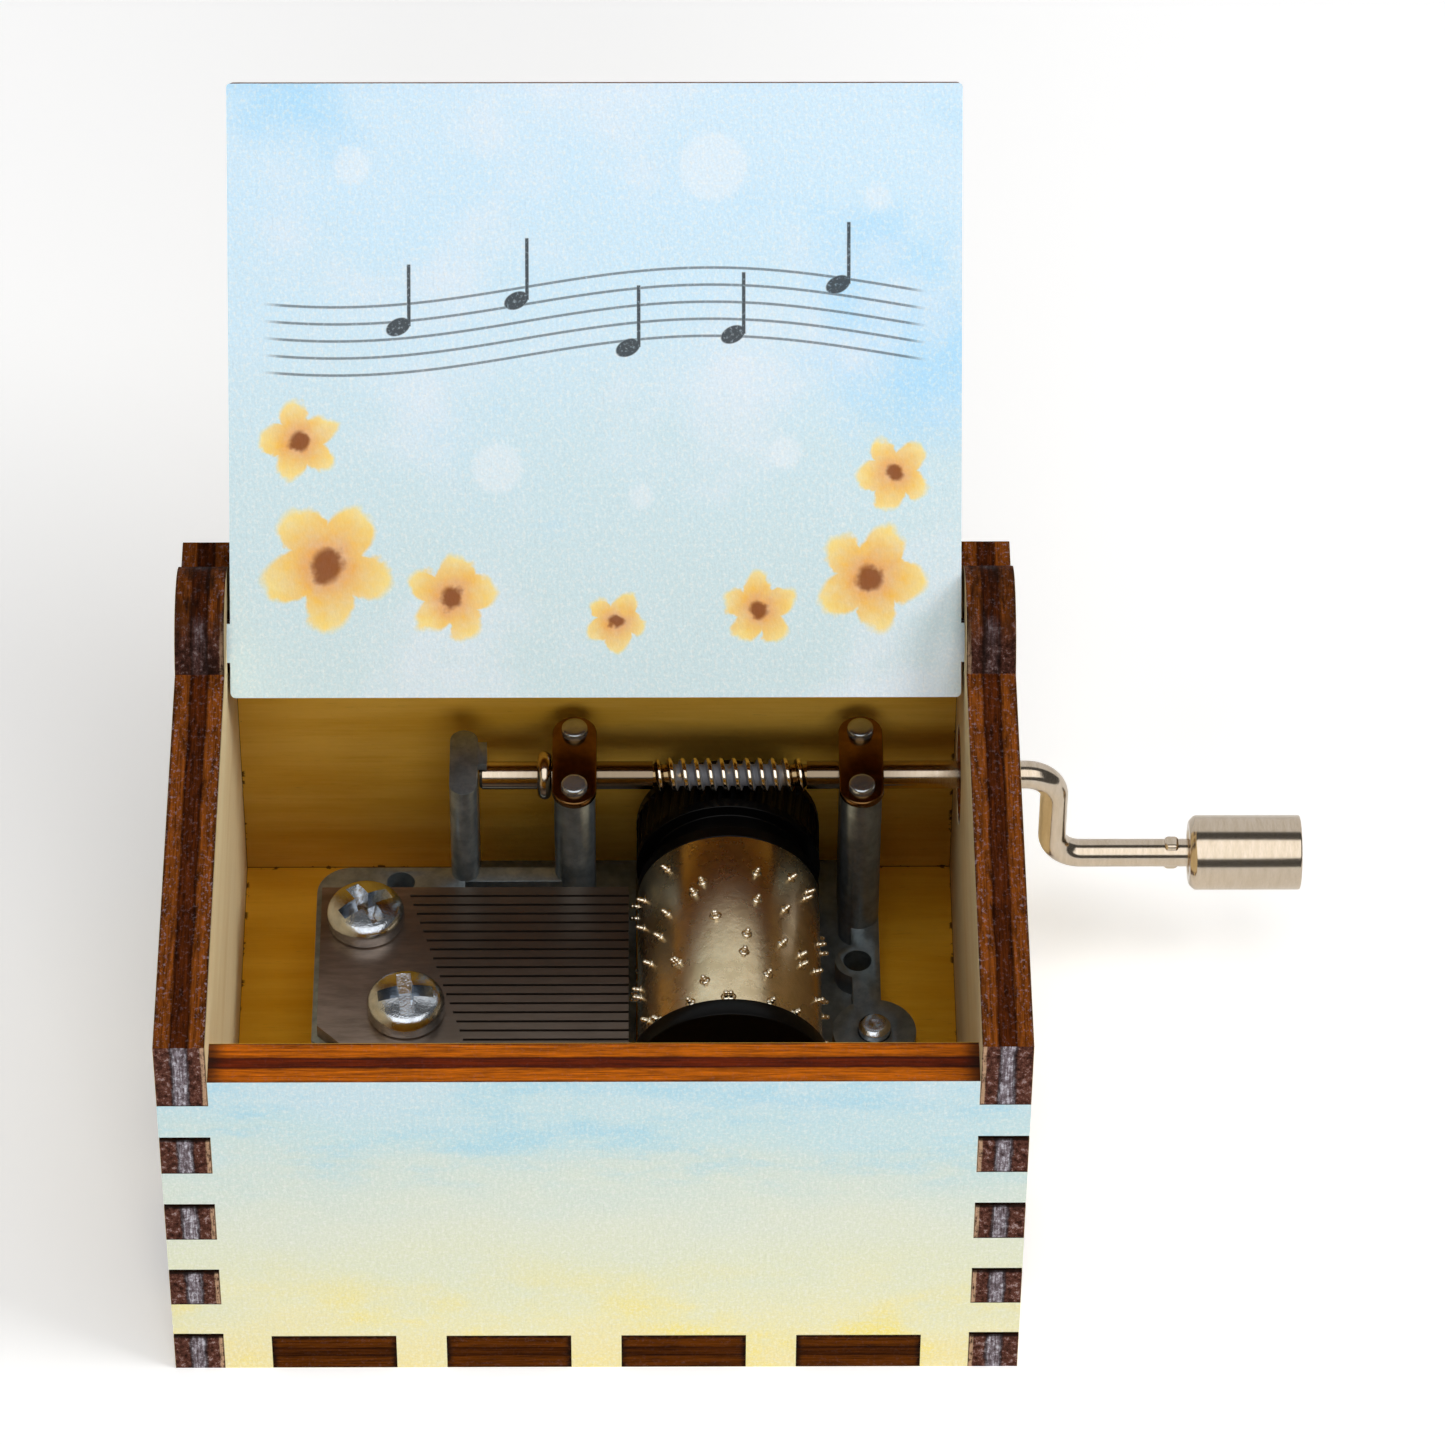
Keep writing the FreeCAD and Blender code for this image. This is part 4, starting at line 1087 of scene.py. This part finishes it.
def worm_on_grid(net, given):
    grid = net.add("GeometryNodeMeshGrid", None, {
        "Size X": 1.0, "Size Y": 1.0, "Vertices X": round(WORM_LENGTH / PITCH) * STEPS_ALONG + 1,
        "Vertices Y": STEPS_ROUND + 1})
    at = net.parts(net.add("GeometryNodeInputPosition"))
    along = (at[0] + 0.5) * given["Length"]
    angle = (at[1] + 0.5) * (2 * math.pi)
    turns = along / given["Pitch"] - (at[1] + 0.5) + given["Phase"]
    off = turns.from_nearest() * given["Pitch"]
    middle_radius = (given["Core radius"] + given["Ridge radius"]) * 0.5
    tall = middle_radius + (HALF_RIDGE - off) / FLANK
    inside = along.least(given["Length"] - along)
    fade = (inside / (0.5 * PITCH)).least(1.0)
    tall = given["Core radius"] + (tall - given["Core radius"]) * fade
    size = tall.most(given["Core radius"]).least(given["Ridge radius"])
    start_x, start_y, start_z = net.parts(given["Start"])
    spot = net.vector((start_x + along) * MM, (start_y + size * angle.sin()) * MM,
                      (start_z - size * angle.cos()) * MM)
    wrapped = net.add("GeometryNodeSetPosition", None, {"Geometry": grid, "Position": spot})
    closed = net.add("GeometryNodeMergeByDistance", None, {"Geometry": wrapped, "Distance": SAME_POINT})
    return net.add("GeometryNodeSetShadeSmooth", None, {0: closed})


# %% Grease on the worm
def worm_finish():
    """Bright rolled ridges over bare metal painted darker in the grooves as painted shade, with dull grey
    grease packed between the ones that touch the wheel.
    """
    finish = Finish("greased worm")
    x, y, z = finish.x, finish.y, finish.z
    ridge = distance(y, z, (shaft.y, shaft.z)).ease(1.12, 1.30)
    cover = finish.noise(x * 0.5, y * 0.7, z * 0.7, 3.0, 0.6).ease(0.32, 0.46)
    grease = (1 - ridge) * cover * abs(x - roller.x).ease(4.8, 3.8)
    # The bare metal is painted darker down in the grooves than on the ridges: painted shade in the recesses.
    bare = finish.mix(ridge, ink(150, 128, 94), ink(242, 232, 212))
    finish.feed("Base Color", finish.mix(grease, bare, ink(112, 114, 120)))
    finish.feed("Metallic", 1 - grease)
    finish.feed("Roughness", 0.09 + 0.45 * grease + 0.08 * (1 - ridge))
    return finish.material


worm_metal = worm_finish()
print("worm finish", worm_metal.name)

# %% The rolled worm
seed = bpy.data.meshes.new("worm seed")
seed.from_pydata([(0, 0, 0)], [], [])
raw_worm = grown(seed, "rolled worm", worm_on_grid, {
    "Length": WORM_LENGTH, "Pitch": PITCH, "Core radius": WORM_CORE, "Ridge radius": WORM_TOP,
    "Start": (worm_start, shaft.y, shaft.z), "Phase": (worm_start - roller.x) / PITCH,
    "Material": worm_metal})
work = bmesh.new()
work.from_mesh(raw_worm)
bmesh.ops.recalc_face_normals(work, faces=work.faces)
worm_mesh = smooth(to_mesh(work, "worm"), 50)
keep_piece(worm_mesh, "rolled_worm", "crank", "nickelled_wire", worm_metal)
print("worm faces", len(worm_mesh.polygons))

# %% [markdown]
# Three more shapes belong to the same length of wire: the plain journal left of the worm, the two ears
# that pliers have pinched beside the knob, and the end that is riveted over so the knob stays on. They
# are made one by one and joined with the bent wire into one piece.

# %% Journal, crimp and riveted end join the wire
JOURNAL_EASE = 0.25
RIVETED_RADIUS = 1.5
RIVETED_SUNK = 0.1
CRIMP = Vector((1.1, 1.3, 2.7))
CRIMP_ROUND = 0.3
CRIMP_GAP = 0.8
journal_length = worm_start - shaft_low.x
journal = lathe(
    [(0, 0), (WIRE_RADIUS - JOURNAL_EASE, 0), (WIRE_RADIUS, JOURNAL_EASE), (WIRE_RADIUS, journal_length),
     (0, journal_length)],
    (shaft_low.x, shaft.y, shaft.z), (1, 0, 0), 40)
riveted_end = lathe(
    [(0, -RIVETED_SUNK), (RIVETED_RADIUS, -RIVETED_SUNK), (RIVETED_RADIUS, 0.22), (1.36, 0.44), (1.05, 0.60),
     (0.6, 0.68), (0, RIVETED)], (wire_end, shaft.y, handle.z), (1, 0, 0), 40)


def crimp_ears():
    """Two ears where pliers have pinched the wire, so that the knob cannot slide along it."""
    work = bmesh.new()
    bmesh.ops.create_cube(work, size=1.0)
    bmesh.ops.scale(work, verts=work.verts, vec=CRIMP)
    bmesh.ops.bevel(work, geom=list(work.edges), offset=CRIMP_ROUND, segments=4, profile=0.5, affect="EDGES")
    knob_start = span("crank_knob")[0].x
    centre = Vector((knob_start - CRIMP_GAP - CRIMP.x / 2, shaft.y, handle.z))
    bmesh.ops.translate(work, verts=work.verts, vec=centre)
    bmesh.ops.scale(work, verts=work.verts, vec=Vector((MM, MM, MM)))
    return to_mesh(work, "crimp")


whole = bmesh.new()
for mesh in (arm_mesh, journal, riveted_end, crimp_ears()):
    whole.from_mesh(mesh)
wire_mesh = smooth(to_mesh(whole, "wire"), 40)
keep_piece(wire_mesh, "bent_wire", "crank", "nickelled_wire", shaded_wire, "crank_shaft")
print("wire faces", len(wire_mesh.polygons))

# %% [markdown]
# ## Screws and rivets
# The comb is held by two pan-head screws with a cross recess. The dome is turned, the cross is two
# tapered blades cut out of it. Screws and rivets come in sets of one shape, so each shape is made once,
# at the origin, and a tree of nodes sets a copy on every place of the set.

# %% A tree that sets one copy on each point
def copies_on_points(net, given):
    piece = net.add("GeometryNodeObjectInfo", None, {"Object": given["Piece"]}, out="Geometry")
    angle = net.add("GeometryNodeInputNamedAttribute", {"data_type": "FLOAT"}, {"Name": "turn"})
    turn = net.add("FunctionNodeEulerToRotation", None, {0: net.vector(0.0, 0.0, angle)})
    return net.add("GeometryNodeInstanceOnPoints", None, {
        "Points": given["Geometry"], "Instance": piece, "Rotation": turn})


def set_out(shape, name, places, turns, material):
    """Sets one copy of a turned shape on each place, each turned about the upright by its own angle."""
    pattern = put_in_scene(name + ".pattern", shape)
    points = marked_points(name, places, "turn", "FLOAT", turns)
    mesh = grown(points, name, copies_on_points, {"Piece": pattern, "Material": material})
    bpy.data.objects.remove(pattern)
    return mesh


def extent(lump):
    """Size of a lump, and the middle of its foot."""
    low = Vector([min(p[i] for p in lump) for i in range(3)])
    high = Vector([max(p[i] for p in lump) for i in range(3)])
    return high - low, Vector(((low.x + high.x) / 2, (low.y + high.y) / 2, low.z))


# %% A cross recess
ABOVE_HEAD = 0.4
BLADE_FLARE = 1.12
BLADE_POINT = 0.45
BLADE_THIN = 0.7


def tapered_blade(turn, height, length, width, depth, up=1):
    """A wedge that narrows into a screw's head, from above or, with up at -1, from below."""
    work = bmesh.new()
    rims = []
    for z, long, wide in ((ABOVE_HEAD, BLADE_FLARE, BLADE_FLARE), (-depth, BLADE_POINT, BLADE_THIN)):
        rim = []
        for sx, sy in ((-1, -1), (1, -1), (1, 1), (-1, 1)):
            at = Vector((sx * length / 2 * long, sy * width / 2 * wide, height + z * up))
            rim.append(work.verts.new(Matrix.Rotation(turn, 3, "Z") @ at * MM))
        rims.append(rim)
    high, low = rims
    work.faces.new(high)
    work.faces.new(low[::-1])
    for k in range(4):
        work.faces.new([high[k], low[k], low[(k + 1) % 4], high[(k + 1) % 4]])
    bmesh.ops.recalc_face_normals(work, faces=work.faces)
    return to_mesh(work, "blade")


def crossed(turned, *blade):
    """A turned screw with its cross cut out by two wedges of the same blade."""
    head = put_in_scene("head", turned)
    cutters = []
    for turn in (0, math.pi / 2):
        cutter = put_in_scene("cutter", tapered_blade(turn, *blade))
        cut = head.modifiers.new("cross", "BOOLEAN")
        cut.object = cutter
        cut.solver = "EXACT"
        cutters.append(cutter)
    mesh = applied(head)
    for cutter in cutters:
        bpy.data.objects.remove(cutter)
    return smooth(mesh, 35)


# %% Pan-head screws on the comb
HEAD = 3.0
RIM = 0.985
CROWN = 6.14
RIM_SLOPE = 23
FOOT_EASE = 0.15
RECESS = (5.0, 1.15, 1.6)
HEAD_TURNS = (0.1, 0.55)


def pan_head(tall):
    """An upright wall, a rounded rim and a low crown that meets the rim without an edge."""
    meeting = 90 - RIM_SLOPE
    rim_foot = tall - CROWN + (CROWN - RIM) * math.sin(math.radians(meeting))
    wall = [(0, 0), (HEAD - FOOT_EASE, 0), (HEAD, FOOT_EASE)]
    rim = arc((HEAD - RIM, rim_foot), RIM, range(0, meeting, 9))
    crown = arc((0, tall - CROWN), CROWN, (meeting, 72, 77, 82, 86, 90))
    dome = lathe(wall + rim + crown, (0, 0, 0), (0, 0, 1), 72)
    return crossed(dome, tall, *RECESS)


head_tall = span("comb_screws")[1].z - comb_high.z
feet = sorted((extent(lump)[1] for lump in islands("comb_screws")), key=lambda foot: foot.y)
head_places = [(foot.x, foot.y, comb_high.z) for foot in feet]
screw_mesh = set_out(pan_head(head_tall), "comb screw places", head_places, HEAD_TURNS, screw_metal)
keep_piece(screw_mesh, "comb_screw_heads", "case", "plated_screw", screw_metal, "comb_screws")
print("screw heads", len(head_places), "faces", len(screw_mesh.polygons))

# %% [markdown]
# Two more screws come up through the base and hold the bedplate. Only the tip of one can be seen from
# above, but a reader who turns the box over finds their heads, so they are whole.

# %% Mounting screws, driven from below
SHANK = 1.25
TIP = 0.9
TIP_LENGTH = 0.3
TIP_EASE = (0.1, 0.04)
DIMPLE = (0.3, 0.1)
HEAD_TALL = 1.3
HEAD_EASE = 0.2
SMALL_RECESS = (3.4, 0.8, 1.0)
DRIVEN_TURNS = (0.3, 1.0)
screw_sizes, screw_feet = zip(*[extent(lump) for lump in islands("mounting_screws")])
wide = screw_sizes[0].x / 2
tall = screw_sizes[0].z
driven = lathe(
    [(0, 0), (wide - HEAD_EASE, 0), (wide, HEAD_EASE), (wide, HEAD_TALL - HEAD_EASE),
     (wide - HEAD_EASE, HEAD_TALL), (SHANK, HEAD_TALL), (SHANK, tall - TIP_LENGTH),
     (TIP + TIP_EASE[0], tall - TIP_EASE[1]), (TIP, tall), (DIMPLE[0], tall), (0, tall - DIMPLE[1])],
    (0, 0, 0), (0, 0, 1), 48)
driven = crossed(driven, 0, *SMALL_RECESS, -1)
tip_mesh = set_out(driven, "mounting screw places", screw_feet, DRIVEN_TURNS, screw_metal)
keep_piece(tip_mesh, "driven_screws", "case", "plated_screw", screw_metal, "mounting_screws")
print("mounting screws", len(screw_feet), "faces", len(tip_mesh.polygons))

# %% [markdown]
# Each bearing cap is held down by two rivets, whose flat heads have a rounded rim. Rivets look the same
# all round, so none of the copies is turned.

# %% Rivet heads on the bearing caps
rivet_sizes, rivet_feet = zip(*[extent(lump) for lump in islands("bearing_cap_rivets")])
wide = rivet_sizes[0].x / 2
tall = rivet_sizes[0].z
rivet = lathe(
    [(0, 0), (wide, 0), (wide * 0.99, tall * 0.7), (wide * 0.94, tall * 0.87), (wide * 0.84, tall * 0.97),
     (wide * 0.7, tall), (0, tall)], (0, 0, 0), (0, 0, 1), 36)
rivet_mesh = set_out(rivet, "rivet places", rivet_feet, [0.0] * len(rivet_feet), rivet_metal)
keep_piece(rivet_mesh, "cap_rivet_heads", "case", "zinc_casting", rivet_metal, "bearing_cap_rivets")
print("rivets", len(rivet_feet))

# %% [markdown]
# ## Studio
# The picture is a product shot on white: a broad lamp overhead, one at the right that throws the soft
# shadow beside the case, and one low in front. Bare metal shows what stands round it, so mirror rays see a
# studio of their own: a canopy over the front, a white sweep behind and dark gaps between the two, which
# draw the dark lines along the wire. The floor glows a little for the camera, so it reaches white.

# %% World and floor
AMBIENT = 0.22
DARK_GAP = 0.09
CANOPY = 1.46
SWEEP = 0.70
FLOOR_REACH = 3.0
FLOOR_GLOW = 0.285
IN_METAL = 0.25
scene.view_settings.view_transform = "Standard"


def ray_kinds(net):
    """What kind of ray is asking, by the names that the Light Path node gives."""
    return net.outputs(net.add("ShaderNodeLightPath"))


def studio_world():
    world = bpy.data.worlds.new("white studio")
    world.use_nodes = True
    net = Net(world.node_tree)
    sky = world.node_tree.nodes["Background"]
    seen = ray_kinds(net)
    shown = seen["Is Camera Ray"].most(seen["Is Transmission Ray"])
    side, ahead, up = net.parts(net.add("ShaderNodeTexCoord", out="Generated"))
    canopy = ahead.ease(-0.02, -0.10) * up.ease(0.42, 0.50) * abs(side).ease(0.66, 0.50)
    sweep = ahead.ease(0.36, 0.44)
    mirrored = DARK_GAP + CANOPY * canopy + SWEEP * sweep
    plain = AMBIENT + (1 - AMBIENT) * shown
    strength = plain + (mirrored - plain) * seen["Is Glossy Ray"]
    world.node_tree.links.new(strength.socket, sky.inputs["Strength"])
    sky.inputs["Color"].default_value = (1, 1, 1, 1)
    scene.world = world


def sweep_floor():
    mesh = bpy.data.meshes.new("floor")
    far = FLOOR_REACH
    mesh.from_pydata([(-far, -far, 0), (far, -far, 0), (far, far, 0), (-far, far, 0)], [], [(0, 1, 2, 3)])
    floor = put_in_scene("floor", mesh)
    sweep = Finish("white sweep", Base_Color=(0.92, 0.92, 0.92, 1), Roughness=1.0, Specular_IOR_Level=0.0,
                   Emission_Strength=1.0)
    seen = ray_kinds(sweep)
    shown = seen["Is Camera Ray"].most(seen["Is Transmission Ray"])
    shown = shown.most(seen["Is Glossy Ray"] * IN_METAL)
    sweep.feed("Emission Color", sweep.grey(shown * FLOOR_GLOW))
    mesh.materials.append(sweep.material)
    floor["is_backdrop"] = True


studio_world()
sweep_floor()
print("world", scene.world.name)

# %% Lamps
CASE_MIDDLE = Vector((0, 0, 0.02))
FRONT_MIDDLE = Vector((0, 0, 0.03))


def softbox(name, place, target, size, power):
    lamp = bpy.data.lights.new(name, "AREA")
    lamp.shape = "SQUARE"
    lamp.size = size
    lamp.energy = power
    holder = put_in_scene(name, lamp)
    holder.location = place
    holder.rotation_euler = (target - Vector(place)).to_track_quat("-Z", "Y").to_euler()
    holder.visible_glossy = False
    print("lamp", name, power, "W")


softbox("key", (0.90, -0.25, 0.80), CASE_MIDDLE, 0.5, 6.5)
softbox("overhead", (0.10, -0.35, 1.25), CASE_MIDDLE, 0.8, 4.4)
softbox("front_fill", (0.10, -1.30, 0.45), FRONT_MIDDLE, 0.6, 6.6)

# %% [markdown]
# ## Camera
# A long lens looks down at about 46 degrees, from the front and a hair to the right. The small shift keeps
# the case where the picture has it.

# %% Camera
PICTURE = 1445
FOCUS_PIXELS = 7426.43
SHIFT_PIXELS = (18.685, -65.004)
SENSOR = 36.0
EYE = Vector((4.139, -381.474, 442.514)) * MM
YAW, PITCH_DOWN, ROLL = 0.0104, 0.7988, 0.0059


def long_lens():
    data = bpy.data.cameras.new("camera")
    data.sensor_width = SENSOR
    data.lens = FOCUS_PIXELS / PICTURE * SENSOR
    data.shift_x, data.shift_y = [shift / PICTURE for shift in SHIFT_PIXELS]
    data.clip_end = 20.0
    level = Vector((math.sin(YAW), math.cos(YAW), 0))
    ahead = level * math.cos(PITCH_DOWN) - Vector((0, 0, math.sin(PITCH_DOWN)))
    right = Vector((math.cos(YAW), -math.sin(YAW), 0))
    up = right.cross(ahead)
    side = right * math.cos(ROLL) + up * math.sin(ROLL)
    top = up * math.cos(ROLL) - right * math.sin(ROLL)
    camera = put_in_scene("camera", data)
    turned = Matrix((side, top, -ahead)).transposed().to_4x4()
    camera.matrix_world = Matrix.Translation(EYE) @ turned
    scene.camera = camera


long_lens()
print("lens", round(scene.camera.data.lens, 1))

# %% [markdown]
# ## Closing
# The looks are meant to stay inside the solid model's box. Both boxes are written down side by side.

# %% Write the two boxes and finish
def plain(box):
    return [[float(value) for value in corner] for corner in box]


{"cad": plain(cad_box), "visual": plain(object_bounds())}
print("cad box", plain(cad_box))
print("visual box", plain(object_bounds()))
